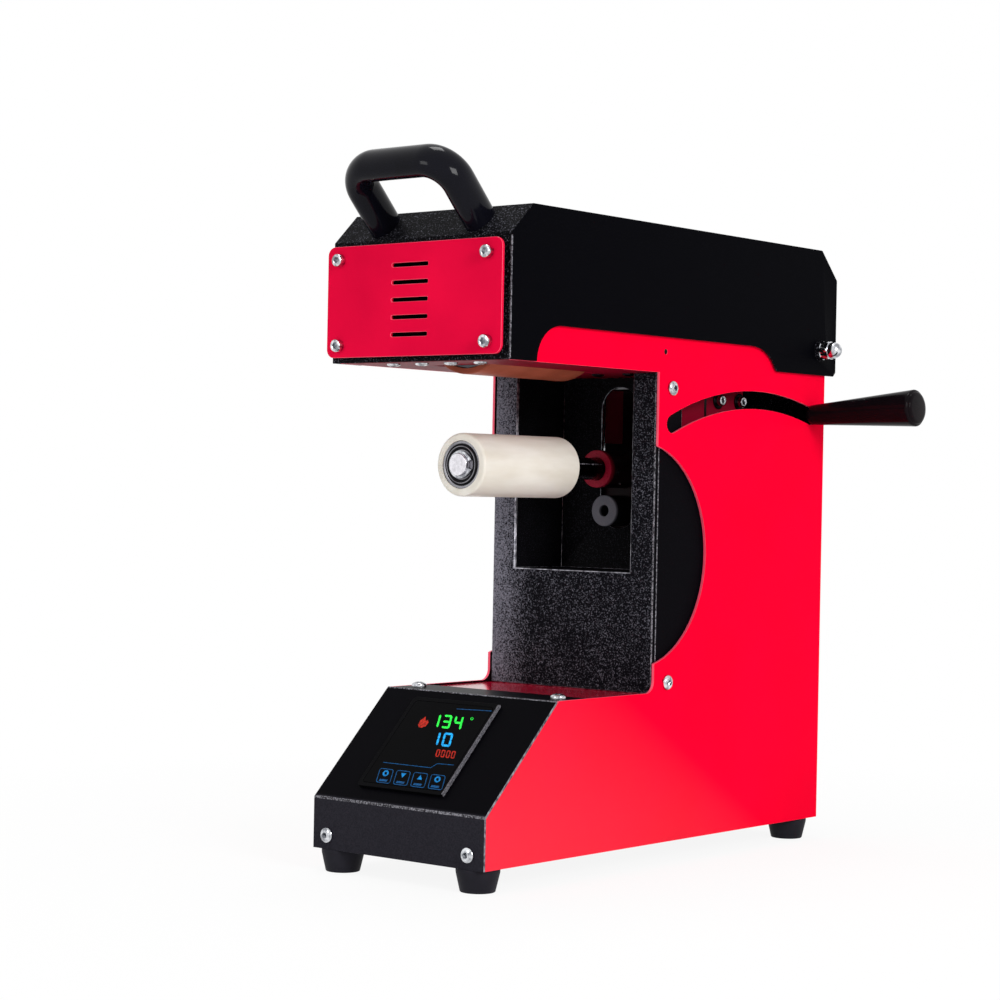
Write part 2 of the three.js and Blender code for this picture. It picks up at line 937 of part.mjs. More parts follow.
function addColumn() {
  const outer = rectangle(-columnHalf, columnFace, columnHalf, columnFace + column.flangeDepth);
  const bar = alongZ(outer, deckTop, headHeight);
  const inside = alongZ(
    rectangle(
      -columnHalf + stand.sheet,
      recessFront,
      columnHalf - stand.sheet,
      columnFace + column.flangeDepth + cutOverrun,
    ),
    deckTop - cutOverrun,
    headHeight + cutOverrun,
  );
  const windowTool = alongY(
    rectangle(
      -windowHalf,
      windowSill,
      windowHalf,
      headHeight + cutOverrun,
    ),
    columnFace - cutOverrun,
    recessFront + cutOverrun,
  );
  const returnTrim = alongZ(
    rectangle(
      -panelOuter,
      columnFace + column.upperReturn,
      panelOuter,
      columnFace + column.flangeDepth + cutOverrun,
    ),
    headHeight - column.upperReturnHeight,
    headHeight + cutOverrun,
  );
  addPiece(
    'column_front',
    cut(bar, inside, windowTool, returnTrim),
    finishes.blackTexturedPaint,
  );

  const outerHalf = windowHalf + stand.sheet;
  const shell = alongZ(
    rectangle(-outerHalf, recessFront, outerHalf, recessRear),
    windowSill - stand.sheet,
    headHeight,
  );
  const hollow = alongZ(
    rectangle(-windowHalf, recessFront - cutOverrun, windowHalf, recessBack),
    windowSill,
    headHeight + cutOverrun,
  );
  const slotWidth = spindle.tubeDiameter + 2 * column.slotSideGap;
  const half = slotWidth / 2;
  const slotBottom = bushHeight - spindle.bushDiameter / 2 - column.slotEndGap;
  const tubeTop = spindleHeight + spindle.tubeDiameter / 2 + carriage.lift;
  const slotTop = tubeTop + column.slotHeadroom;
  const slot = bandShape(
    [[0, slotBottom + half], [0, slotTop - half]],
    slotWidth,
    14,
  );
  const slotTool = alongY(slot, recessBack - cutOverrun, recessRear + cutOverrun);
  addPiece('recess_box', cut(shell, hollow, slotTool), finishes.blackTexturedPaint);
}

// Lifting carriage with its guide, cam plate and mug spindle

function addGuide() {
  const levels = [
    ['guide_bracket_lower', guideLower],
    ['guide_bracket_upper', guideUpper],
  ];
  const bore = carriage.rodDiameter + 2 * fitGap;
  levels.forEach(([name, level]) => {
    const plate = alongZ(
      rectangle(
        -guideHalf,
        recessRear,
        guideHalf,
        rodDepth + carriage.rodDiameter,
      ),
      level,
      level + carriage.bracketThickness,
    );
    const bores = bothSides.map((side) => rod(
      'z',
      level - cutOverrun,
      level + carriage.bracketThickness + cutOverrun,
      bore,
      [side * rodX, rodDepth, 0],
    ));
    addPiece(name, cut(plate, ...bores), finishes.steel);
  });
  bothSides.forEach((side) => {
    const guide = rod(
      'z',
      guideLower - carriage.rodRunOn,
      guideUpper + carriage.bracketThickness,
      carriage.rodDiameter,
      [side * rodX, rodDepth, 0],
      16,
    );
    addPiece(`guide_rod_${sideName(side)}`, guide, finishes.chrome);
  });
}

// Centre line of the cam slot in the raised plate: where the crank pin stands for each part of
// the lever's swing, less the lift wanted there. The lift then grows evenly with the swing.
function camSlotPoints() {
  const steps = 12;
  const points = [];
  for (let i = 0; i <= steps; i += 1) {
    const share = i / steps;
    const lean = crank.restLean - lever.swing * share;
    const [y, z] = leverPoint(lean, crank.length);
    points.push([y, z - carriage.lift * share]);
  }
  return points;
}

function addCarriage() {
  const tubeFront = blockFront - spindle.tubeLength;
  const block = alongZ(
    rectangle(-blockHalf, blockFront, blockHalf, blockRear),
    blockBottom,
    blockTop,
  );
  const tube = rod('y', tubeFront, blockRear - carriage.tubeRest, spindle.tubeDiameter,
    [0, 0, spindleHeight], 28);
  const tubeBore = rod('y', tubeFront - cutOverrun, blockFront,
    spindle.shaftDiameter + 2 * fitGap, [0, 0, spindleHeight], 28);
  const bores = bothSides.map((side) => rod(
    'z',
    blockBottom - cutOverrun,
    blockTop + cutOverrun,
    carriage.rodDiameter + 2 * fitGap,
    [side * rodX, rodDepth, 0],
    20,
  ));
  addPiece('carriage_block', cut(joined(block, tube), tubeBore, ...bores), finishes.darkRedPaint);

  const slotWidth = crank.rollerDiameter + 2 * carriage.camSlotClearance;
  const slotPoints = camSlotPoints();
  const reach = slotWidth / 2 + carriage.camMargin;
  const [restY, restZ] = slotPoints[0];
  const [endY, endZ] = slotPoints[slotPoints.length - 1];
  const tail = linkShape([endY, endZ], reach, [restY, restZ], reach);
  const web = rectangle(blockRear, endZ, blockRear + carriage.camTailWidth, blockTop);
  const plate = joined(
    alongX(tail, -camHalf, camHalf, 10),
    alongX(web, -camHalf, camHalf),
  );
  const slotTool = alongX(
    bandShape(slotPoints, slotWidth, 8),
    -camHalf - cutOverrun,
    camHalf + cutOverrun,
  );
  addPiece('cam_plate', cut(plate, slotTool), finishes.steel);
}

function addSpindle() {
  const centre = [0, 0, spindleHeight];
  const tubeEnd = blockFront;
  const front = roller.front - spindle.nose;
  const journal = spindle.shaftDiameter - spindle.journalStep;
  const flatStart = rollerRear + spindle.flatBehind;
  const shoulder = rollerRear + roller.bearingInset + fitGap;
  const shaftProfile = [
    [front, 0],
    [front, journal / 2 - fitGap],
    [front + fitGap, journal / 2],
    [shoulder, journal / 2],
    [shoulder, spindle.shaftDiameter / 2],
    [tubeEnd, spindle.shaftDiameter / 2],
    [tubeEnd, 0],
  ];
  const shaft = turned('y', shaftProfile, centre, 24);
  const flatFrom = spindle.shaftDiameter / 2 - spindle.flatDepth;
  const flats = [1, -1].map((way) => {
    const low = way * flatFrom;
    const high = way * (flatFrom + cutOverrun);
    return alongY(
      rectangle(
        -spindle.shaftDiameter,
        spindleHeight + Math.min(low, high),
        spindle.shaftDiameter,
        spindleHeight + Math.max(low, high),
      ),
      flatStart,
      flatStart + spindle.flatLength,
    );
  });
  addPiece('mug_spindle', cut(shaft, ...flats), finishes.blackOxide);
  addPiece(
    'spindle_clip',
    ring('y', roller.front - spindle.clipThickness - fitGap / 2, roller.front - fitGap / 2,
      journal + spindle.clipRise, journal + fitGap, centre, 24),
    finishes.blackOxide,
  );
  addPiece(
    'locating_bush',
    ring('y', blockFront - spindle.bushLength, blockFront, spindle.bushDiameter, spindle.bushBore,
      [0, 0, bushHeight], 22),
    finishes.aluminium,
  );
}

function addRoller() {
  const centre = [0, 0, spindleHeight];
  const outer = roller.diameter / 2;
  const seat = roller.bearingDiameter / 2 + fitGap;
  const bore = roller.bore / 2;
  const pocket = roller.bearingWidth + roller.bearingInset + fitGap;
  const edgeSteps = 3;
  const edge = Math.min(roller.edgeRadius, (outer - seat) * roller.edgeWallShare);
  const frontEdge = [];
  for (let k = 0; k <= edgeSteps; k += 1) {
    const turn = (Math.PI / 2) * (k / edgeSteps);
    frontEdge.push([
      roller.front + edge * (1 - Math.cos(turn)),
      outer - edge * (1 - Math.sin(turn)),
    ]);
  }
  const rearEdge = frontEdge
    .map(([along, radius]) => [roller.front + rollerRear - along, radius])
    .reverse();
  const sleeve = [
    [roller.front, seat],
    ...frontEdge,
    ...rearEdge,
    [rollerRear, seat],
    [rollerRear - pocket, seat],
    [rollerRear - pocket, bore],
    [roller.front + pocket, bore],
    [roller.front + pocket, seat],
    [roller.front, seat],
  ];
  addPiece('mug_roller', turned('y', sleeve, centre, 26), finishes.creamNylon);
  const starts = [
    ['roller_bearing_front', roller.front + roller.bearingInset],
    ['roller_bearing_rear', rollerRear - roller.bearingInset - roller.bearingWidth],
  ];
  starts.forEach(([name, start]) => {
    const bearing = ring('y', start, start + roller.bearingWidth, roller.bearingDiameter,
      spindle.shaftDiameter - spindle.journalStep + 2 * fitGap, centre, 20);
    addPiece(name, bearing, finishes.steel);
  });
}

// Lever: cross shaft low in the stand, arm behind the right panel, crank on the mid-plane

// Moves a piece turned about the X axis onto the stud, which rises a little towards its outer end.
function onStud(geometry) {
  const [y, z] = leverPoint(lever.restLean, gripRadius);
  return geometry
    .translate(-armInnerX, 0, 0)
    .rotateY(-lever.studRise)
    .translate(armInnerX, y, z);
}

function addLever() {
  const pivot = [pivotDepth, pivotHeight];
  const centre = [0, ...pivot];
  const shaftEnd = armOuterX + lever.shaftOverhang;
  addPiece(
    'lever_shaft',
    rod('x', -stayX, shaftEnd, lever.shaftDiameter, centre, 24),
    finishes.steel,
  );
  const bore = lever.shaftDiameter + 2 * fitGap;
  const gripPoint = leverPoint(lever.restLean, gripRadius);
  const bar = alongX(
    linkShape(pivot, lever.hubRadius, gripPoint, lever.armTipWidth / 2),
    armInnerX,
    armOuterX,
    8,
  );
  const armBore = rod('x', armInnerX - cutOverrun, armOuterX + cutOverrun, bore, centre);
  const stud = rod(
    'x',
    armInnerX + 2 * fitGap,
    gripX + lever.studReach,
    lever.studDiameter,
    [0, 0, 0],
    16,
  );
  addPiece('lever_arm', joined(cut(bar, armBore), onStud(stud)), finishes.blackOxide);

  const gripCentre = [gripX, 0, 0];
  const studBore = lever.studDiameter / 2 + fitGap;
  const boreEnd = lever.studReach + fitGap;
  const gripProfile = [
    [0, studBore],
    [0, grip.neckDiameter / 2],
    [grip.bellyAt, grip.bellyDiameter / 2],
    [grip.fullAt, grip.endDiameter / 2],
    [grip.length - grip.capThickness - grip.edge, grip.endDiameter / 2],
    [grip.length - grip.capThickness, grip.endDiameter / 2 - grip.edge],
    [grip.length - grip.capThickness, grip.capDiameter / 2],
    [grip.length, grip.capDiameter / 2 - grip.edge],
    [grip.length, 0],
    [boreEnd, 0],
    [boreEnd, studBore],
    [0, studBore],
  ];
  addPiece('lever_grip', onStud(turned('x', gripProfile, gripCentre, 20)), finishes.blackGloss);

  const pinPoint = leverPoint(crank.restLean, crank.length);
  const crankBar = alongX(
    linkShape(pivot, crank.hubRadius, pinPoint, crank.tipRadius),
    crankNearX,
    crankFarX,
    8,
  );
  const boss = rod('x', crankNearX, crankNearX + crank.bossLength, 2 * crank.hubRadius, centre, 20);
  const crankBore = rod(
    'x',
    crankNearX - cutOverrun,
    crankNearX + crank.bossLength + cutOverrun,
    bore,
    centre,
  );
  const pin = rod(
    'x',
    -camHalf - stand.sheet - crank.washerThickness,
    crankFarX,
    crank.pinDiameter,
    [0, ...pinPoint],
    16,
  );
  const headEnd = -camHalf - stand.sheet;
  const pinHead = rod('x', headEnd - crank.washerThickness, headEnd, crank.washerDiameter,
    [0, ...pinPoint], 20);
  addPiece(
    'crank_arm',
    joined(cut(joined(crankBar, boss), crankBore), pin, pinHead),
    finishes.blackOxide,
  );
  addPiece(
    'cam_roller',
    ring('x', -crank.rollerLength / 2, crank.rollerLength / 2, crank.rollerDiameter,
      crank.pinDiameter + 2 * fitGap, [0, ...pinPoint], 24),
    finishes.bronze,
  );
}

function addLeverBearings() {
  const bearingOuter = panelInner - leverBearing.sideInset;
  const bore = lever.shaftDiameter + 2 * fitGap;
  const block = alongX(
    bearingOutline(),
    bearingOuter - leverBearing.thickness,
    bearingOuter,
    9,
  );
  const boreTool = rod('x', 0, panelInner, bore, [0, pivotDepth, pivotHeight]);
  const finished = cut(block, boreTool);
  bothSides.forEach((side) => {
    addPiece(`lever_bearing_${sideName(side)}`, sided(finished, side), finishes.aluminium);
  });
}

// Bearing block: a foot on the pan that narrows into a round cap about the shaft.
function bearingOutline() {
  const cap = lever.hubRadius;
  const footHalf = cap + leverBearing.footSpread;
  const footTop = panTop + leverBearing.footRise;
  const shape = new THREE.Shape();
  shape.moveTo(pivotDepth - footHalf, panTop);
  shape.lineTo(pivotDepth + footHalf, panTop);
  shape.lineTo(pivotDepth + footHalf, footTop);
  shape.lineTo(pivotDepth + cap, footTop);
  shape.absarc(pivotDepth, pivotHeight, cap, 0, Math.PI);
  shape.lineTo(pivotDepth - cap, footTop);
  shape.lineTo(pivotDepth - footHalf, footTop);
  return shape;
}

// Head: floor between the arms, drum with its bearings, heater and gear motor

function addHeadFloor() {
  const floor = alongZ(
    rectangle(-innerFit, armFront, innerFit, blockRear + headFrame.floorRun),
    headHeight,
    floorTop,
  );
  const opening = alongZ(
    rectangle(
      -drum.openingHalf,
      drumFront - drum.openingEnd,
      drum.openingHalf,
      drumRear + drum.openingEnd,
    ),
    headHeight - cutOverrun,
    floorTop + cutOverrun,
  );
  const firstX = (-headFrame.screwPitch * (headFrame.screwCount - 1)) / 2;
  const screws = [];
  for (let i = 0; i < headFrame.screwCount; i += 1) {
    const x = firstX + i * headFrame.screwPitch;
    const rearX = x * headFrame.rearSpreadShare;
    const rows = [
      [x, armFront + headFrame.screwFrontInset, 0],
      [rearX, columnFace + headFrame.screwRearInset, 0],
    ];
    screws.push(...rows.map((place) => buttonScrew(
      'z', headHeight, -1, place, headFrame.screwHeadHeight)));
  }
  addPiece('head_floor', joined(cut(floor, opening), ...screws), finishes.darkRedPaint);
}

// An upright plate on a foot, with one round bore on the drum's axis.
function footedPlate(yStart, yEnd, halfWidth, top, bore, footStart, footEnd) {
  const upright = alongY(rectangle(-halfWidth, floorTop, halfWidth, top), yStart, yEnd);
  const base = alongZ(
    rectangle(-halfWidth, footStart, halfWidth, footEnd),
    floorTop,
    floorTop + headFrame.footThickness,
  );
  const boreTool = rod(
    'y',
    Math.min(yStart, footStart) - cutOverrun,
    Math.max(yEnd, footEnd) + cutOverrun,
    bore,
    [0, 0, drumHeight],
    20,
  );
  return cut(joined(upright, base), boreTool);
}

function addDrumBrackets() {
  const bore = drum.bearingDiameter + 2 * fitGap;
  const half = panelInner - headFrame.bracketInset;
  const top = drumHeight + headFrame.bracketAbove;
  const frontStart = frontBracketRear - headFrame.bracketThickness;
  addPiece(
    'drum_bracket_front',
    footedPlate(frontStart, frontBracketRear, half, top, bore,
      frontBracketRear - headFrame.footLength, frontBracketRear),
    finishes.aluminium,
  );
  const rearEnd = rearBracketFront + headFrame.bracketThickness;
  addPiece(
    'drum_bracket_rear',
    footedPlate(rearBracketFront, rearEnd, half, top, bore,
      rearBracketFront, rearBracketFront + headFrame.footLength),
    finishes.aluminium,
  );
  const overhang = (drum.bearingWidth - headFrame.bracketThickness) / 2;
  const starts = [
    ['drum_bearing_front', frontStart - overhang],
    ['drum_bearing_rear', rearBracketFront - overhang],
  ];
  starts.forEach(([name, start]) => {
    const bearing = ring('y', start, start + drum.bearingWidth, drum.bearingDiameter,
      drum.hubDiameter + 2 * fitGap, [0, 0, drumHeight], 20);
    addPiece(name, bearing, finishes.steel);
  });
}

function addDrum() {
  const centre = [0, 0, drumHeight];
  const outer = drum.diameter / 2;
  const edge = drum.edgeRadius;
  const sleeve = [
    [drumFront, drumBore],
    [drumFront, outer - edge],
    [drumFront + edge, outer],
    [drumRear - edge, outer],
    [drumRear, outer - edge],
    [drumRear, drumBore],
    [drumFront, drumBore],
  ];
  addPiece('drum_sleeve', turned('y', sleeve, centre, 36), finishes.brownPtfe);
  const hub = drum.hubDiameter / 2;
  const discRadius = drumBore - fitGap;
  const hubBore = drum.heaterDiameter / 2 + fitGap;
  const overhang = (drum.bearingWidth - headFrame.bracketThickness) / 2 + fitGap;
  const frontHub = frontBracketRear - headFrame.bracketThickness - overhang;
  const frontDisc = drumFront + edge;
  const frontProfile = [
    [frontHub, hubBore],
    [frontHub, hub],
    [frontDisc, hub],
    [frontDisc, discRadius],
    [frontDisc + drum.discThickness, discRadius],
    [frontDisc + drum.discThickness, hubBore],
    [frontHub, hubBore],
  ];
  addPiece('drum_end_front', turned('y', frontProfile, centre, 20), finishes.steel);
  const rearDisc = drumRear - edge;
  const rearHub = rearBracketFront + headFrame.bracketThickness + overhang;
  const stubEnd = motorFront - motor.couplingGap - motor.couplingLength / 2;
  const rearProfile = [
    [rearDisc - drum.discThickness, 0],
    [rearDisc - drum.discThickness, discRadius],
    [rearDisc, discRadius],
    [rearDisc, hub],
    [rearHub, hub],
    [rearHub, drum.stubDiameter / 2],
    [stubEnd, drum.stubDiameter / 2],
    [stubEnd, 0],
  ];
  addPiece('drum_end_rear', turned('y', rearProfile, centre, 20), finishes.steel);
  const couplingEnd = motorFront - motor.couplingGap;
  const couplingStart = couplingEnd - motor.couplingLength;
  const stubBore = drum.stubDiameter / 2 + fitGap;
  const motorShaft = motor.shaftDiameter / 2;
  const couplingProfile = [
    [couplingStart, stubBore],
    [couplingStart, motor.couplingDiameter / 2],
    [couplingEnd, motor.couplingDiameter / 2],
    [couplingEnd, motorShaft],
    [motorFront + motor.plateThickness + motor.couplingGap, motorShaft],
    [motorFront + motor.plateThickness + motor.couplingGap, 0],
    [stubEnd + fitGap, 0],
    [stubEnd + fitGap, stubBore],
    [couplingStart, stubBore],
  ];
  addPiece('motor_coupling', turned('y', couplingProfile, centre, 18), finishes.aluminium);
  const heaterEnd = rearDisc - drum.discThickness - drum.heaterRest;
  const cupRear = frontBracketRear - headFrame.bracketThickness;
  const cupFloor = frontHub - drum.cupGap;
  const cupFront = cupFloor - drum.cupWall;
  const terminal = cupFront - drum.terminalLength;
  const heaterProfile = [
    [terminal, 0],
    [terminal, drum.terminalDiameter / 2],
    [cupFront, drum.terminalDiameter / 2],
    [cupFront, drum.cupDiameter / 2],
    [cupRear, drum.cupDiameter / 2],
    [cupRear, drum.cupDiameter / 2 - drum.cupRim],
    [cupFloor, drum.cupDiameter / 2 - drum.cupRim],
    [cupFloor, drum.heaterDiameter / 2],
    [heaterEnd, drum.heaterDiameter / 2],
    [heaterEnd, 0],
  ];
  addPiece('heater_rod', turned('y', heaterProfile, centre, 18), finishes.steel);
}

function addMotor() {
  const plateEnd = motorFront + motor.plateThickness;
  const plateTop = drumHeight + motor.plateAbove;
  const mount = footedPlate(motorFront, plateEnd, motor.plateHalf, plateTop,
    motor.shaftDiameter + 4 * fitGap, motorFront - motor.plateFootLength, plateEnd);
  const gearbox = motor.length - motor.capLength;
  const capRadius = motorRadius * motor.capShare;
  const canProfile = [
    [plateEnd - motor.plateThickness / 2, 0],
    [plateEnd - motor.plateThickness / 2, motorRadius],
    [plateEnd + gearbox, motorRadius],
    [plateEnd + gearbox, capRadius],
    [plateEnd + motor.length, capRadius],
    [plateEnd + motor.length, 0],
  ];
  const can = turned('y', canProfile, [0, 0, drumHeight], 24);
  const shaftHole = rod(
    'y',
    plateEnd - cutOverrun,
    plateEnd + motor.couplingGap + fitGap,
    motor.shaftDiameter + 4 * fitGap,
    [0, 0, drumHeight],
    20,
  );
  addPiece('gear_motor', cut(joined(mount, can), shaftHole), finishes.aluminium);
}

function addHeadStays() {
  const stayRear = blockRear + headFrame.stayRun;
  const stayBottom = headHeight - headFrame.stayHeight;
  const stay = alongX(
    rectangle(recessRear - headFrame.stayOverlap, stayBottom, stayRear, headHeight),
    stayX - headFrame.stayThickness,
    stayX,
  );
  const screwRear = stayRear - headFrame.stayScrewInset;
  const screws = [screwRear - headFrame.stayScrewPitch, screwRear].map((y) => buttonScrew(
    'x', stayX, 1, [0, y, headHeight - headFrame.stayScrewDrop]));
  const finished = joined(stay, ...screws);
  bothSides.forEach((side) => {
    addPiece(`head_stay_${sideName(side)}`, sided(finished, side), finishes.darkRedPaint);
  });
}

// Hood: bent shell that turns on the rear axle, with its front plate and handle

function hoodOutline(inset) {
  const slope = inset * Math.tan(Math.PI / 8);
  return [
    [hoodFront + inset, headHeight],
    [hoodFront + inset, hoodShoulder - slope],
    [hoodFront + hood.frontChamfer + slope, hoodTop - inset],
    [hoodRear - hood.rearChamfer - slope, hoodTop - inset],
    [hoodRear - inset, (hoodTop - hood.rearDrop) - slope],
    [hoodRear - inset, headHeight],
  ].reverse();
}

function hoodNotchShape() {
  const shape = new THREE.Shape();
  const notchFront = hoodFront + hood.notchFrontInset;
  const reach = hood.notchFrontRun;
  const notchTop = headHeight + hood.notchRise;
  const notchRear = standDepth - hood.notchRearInset;
  const rearReach = hood.notchRearRun;
  const rearBottom = headHeight + hood.rearRise;
  const below = headHeight - cutOverrun;
  shape.moveTo(notchFront, below);
  shape.lineTo(notchFront, headHeight);
  shape.absellipse(
    notchFront + reach,
    headHeight,
    reach,
    hood.notchRise,
    Math.PI,
    Math.PI / 2,
    true,
    0,
  );
  shape.lineTo(notchRear - rearReach, notchTop);
  shape.bezierCurveTo(
    notchRear - rearReach * hood.notchBendShare,
    notchTop,
    notchRear - rearReach * (1 - hood.notchTurnShare),
    headHeight + hood.notchRise * hood.notchFallShare,
    notchRear,
    rearBottom,
  );
  shape.lineTo(hoodRear - hood.rearCornerRadius, rearBottom);
  shape.lineTo(hoodRear, rearBottom + hood.rearCornerRadius);
  shape.lineTo(hoodRear + cutOverrun, rearBottom + hood.rearCornerRadius);
  shape.lineTo(hoodRear + cutOverrun, below);
  return shape;
}

function addHood() {
  const outer = alongX(shapeOf(hoodOutline(0)), -hoodHalf, hoodHalf);
  const inner = alongX(
    shapeOf(hoodOutline(hood.sheet).map(([y, z]) => [y, z > headHeight ? z : z - cutOverrun])),
    -hoodInner,
    hoodInner,
  );
  const notch = alongX(
    hoodNotchShape(),
    -hoodHalf - cutOverrun,
    hoodHalf + cutOverrun,
    10,
  );
  const ventOpening = alongY(
    rectangle(-hood.ventOpeningHalf, ventBottom + hood.ventOpeningLow, hood.ventOpeningHalf,
      ventTop - hood.ventOpeningHigh),
    hoodFront - cutOverrun,
    hoodFront + cutOverrun,
  );
  const axleHole = rod(
    'x',
    -hoodHalf - cutOverrun,
    hoodHalf + cutOverrun,
    hinge.axleDiameter + 2 * fitGap,
    [0, hingeDepth, hingeHeight],
  );
  const lip = alongZ(
    rectangle(
      -hoodHalf + hood.lipInset,
      hoodFront + hood.sheet / 2,
      hoodHalf - hood.lipInset,
      hoodFront + hood.sheet + hood.lipDepth,
    ),
    floorTop + fitGap,
    floorTop + fitGap + hood.sheet,
  );
  const boss = rod(
    'x',
    hoodInner,
    hoodHalf + hinge.bossRise,
    hinge.bossDiameter,
    [0, hingeDepth, hingeHeight],
    18,
  );
  const shell = joined(cut(outer, inner, notch, ventOpening), lip, boss, mirrored(boss));
  addPiece('hood_shell', cut(shell, axleHole), finishes.blackTexturedPaint);
}

function ventScrewPlaces() {
  const across = ventHalf - vent.screwInsetSide;
  const low = ventBottom + vent.screwInsetLow;
  const high = ventTop - vent.screwInsetHigh;
  return [[-across, low], [across, low], [-across, high], [across, high]];
}

function addVentPlate() {
  const plateRear = hoodFront - vent.standoffLength;
  const plateFront = plateRear - vent.thickness;
  const outline = roundedRectangle(
    -ventHalf,
    ventBottom,
    ventHalf,
    ventTop,
    vent.cornerRadius,
  );
  for (let i = 0; i < vent.slotCount; i += 1) {
    const middle = ventTop - vent.slotTopInset - i * vent.slotPitch;
    const slot = roundedRectangle(
      vent.slotCentre - vent.slotLength / 2,
      middle - vent.slotHeight / 2,
      vent.slotCentre + vent.slotLength / 2,
      middle + vent.slotHeight / 2,
      vent.slotHeight * vent.slotCornerShare,
    );
    outline.holes.push(shapeOf(slot.getPoints(1).map((point) => [point.x, point.y])));
  }
  ventScrewPlaces().forEach(([x, z]) => {
    outline.holes.push(disc(x, z, vent.screwStem + 2 * fitGap));
  });
  addPiece('vent_plate', alongY(outline, plateFront, plateRear, 4), finishes.redPaint);
  ventScrewPlaces().forEach(([x, z], i) => {
    const profile = [
      [plateFront - vent.screwHeadLength, 0],
      [plateFront - vent.screwHeadLength, vent.screwHeadDiameter / 2],
      [plateFront - fitGap, vent.screwHeadDiameter / 2],
      [plateFront - fitGap, vent.screwStem / 2],
      [plateRear + fitGap, vent.screwStem / 2],
      [plateRear + fitGap, vent.standoffDiameter / 2],
      [hoodFront, vent.standoffDiameter / 2],
      [hoodFront, 0],
    ];
    addPiece(`vent_screw_${i + 1}`, turned('y', profile, [x, 0, z], 12), finishes.chrome);
  });
}

function addHandle() {
  const rootY = hoodFront + hood.frontChamfer * handle.rootDepthShare;
  const rootZ = hoodShoulder + (hoodTop - hoodShoulder) * handle.rootDepthShare;
  const half = handle.legSpacing / 2;
  const bend = handle.bendRadius;
  const place = (x, rise) => new THREE.Vector3(
    x,
    rootY - rise * Math.sin(handle.lean),
    rootZ + rise * Math.cos(handle.lean),
  );
  const path = new THREE.CurvePath();
  path.add(new THREE.LineCurve3(place(-half, -handle.rootSink), place(-half, handle.height - bend)));
  path.add(new THREE.QuadraticBezierCurve3(
    place(-half, handle.height - bend),
    place(-half, handle.height),
    place(-half + bend, handle.height),
  ));
  path.add(new THREE.LineCurve3(place(-half + bend, handle.height), place(half - bend, handle.height)));
  path.add(new THREE.QuadraticBezierCurve3(
    place(half - bend, handle.height),
    place(half, handle.height),
    place(half, handle.height - bend),
  ));
  path.add(new THREE.LineCurve3(place(half, handle.height - bend), place(half, -handle.rootSink)));
  const section = new THREE.Shape();
  section.absellipse(0, 0, handle.thickness / 2, handle.width / 2, 0, 2 * Math.PI, false, 0);
  const tube = new THREE.ExtrudeGeometry(section, {
    steps: 24,
    curveSegments: 7,
    extrudePath: path,
  });
  const trim = alongX(shapeOf(hoodOutline(0)), -hoodHalf, hoodHalf);
  const shift = fitGap * Math.SQRT1_2;
  trim.translate(0, -shift, shift);
  addPiece('hood_handle', cut(tube, trim), finishes.blackGloss);
}

function acornNut(start) {
  const centre = [0, hingeDepth, hingeHeight];
  const hexRadius = hinge.nutAcrossFlats / Math.sqrt(3);
  const hexEnd = start + hinge.nutHexLength;
  const hex = turned('x', [[start, 0], [start, hexRadius], [hexEnd, hexRadius], [hexEnd, 0]],
    centre, 6);
  const domeRadius = (hinge.nutAcrossFlats / 2) * hinge.nutDomeShare;
  const dome = [[start + hinge.nutHexLength / 2, 0], [start + hinge.nutHexLength / 2, domeRadius]];
  const steps = 4;
  for (let k = 0; k < steps; k += 1) {
    const turn = (Math.PI / 2) * (k / steps);
    dome.push([
      hexEnd + (hinge.nutDomeLength * (1 - Math.cos(turn) + Math.sin(turn))) / 2,
      domeRadius * Math.cos(turn),
    ]);
  }
  dome.push([hexEnd + hinge.nutDomeLength, 0]);
  return joined(hex, turned('x', dome, centre, 14));
}

function addHinge() {
  const centre = [0, hingeDepth, hingeHeight];
  addPiece(
    'hood_axle',
    rod('x', -nutStart, nutStart, hinge.axleDiameter, centre, 16),
    finishes.steel,
  );
  const nut = acornNut(nutStart);
  bothSides.forEach((side) => {
    addPiece(`acorn_nut_${sideName(side)}`, sided(nut, side), finishes.chrome);
  });
}

// Rear cover with inlet and rocker switch

function addRearCover() {
  const coverFront = standDepth - stand.sheet;
  const coverTop = headHeight + rear.coverRise;
  const slotTop = coverTop - rear.slotTopInset;
  const plate = alongY(
    rectangle(-innerFit, stand.bottom, innerFit, coverTop),
    coverFront,
    standDepth,
  );
  const tools = [];
  const through = [coverFront - cutOverrun, standDepth + cutOverrun];
  const inletHalf = rear.inletWidth / 2;
  tools.push(alongY(
    rectangle(
      inletX - inletHalf,
      inletHeight - rear.inletOpening / 2,
      inletX + inletHalf,
      inletHeight + rear.inletOpening / 2,
    ),
    ...through,
  ));
  const switchWide = rear.switchHalfWidth - rear.switchRim / 2;
  const switchTall = rear.switchHalfHeight - rear.switchRim / 2;
  tools.push(alongY(
    rectangle(
      rear.switchX - switchWide,
      inletHeight - switchTall,
      rear.switchX + switchWide,
      inletHeight + switchTall,
    ),
    ...through,
  ));
  for (let i = 0; i < rear.slotCount; i += 1) {
    const low = slotTop - rear.slotHeight - i * rear.slotPitch;
    tools.push(alongY(
      roundedRectangle(-rear.slotLength / 2, low, rear.slotLength / 2, low + rear.slotHeight,
        rear.slotHeight * rear.slotCornerShare),
      ...through,
      2,
    ));
  }
  addPiece('rear_cover', cut(plate, ...tools), finishes.blackTexturedPaint);
}

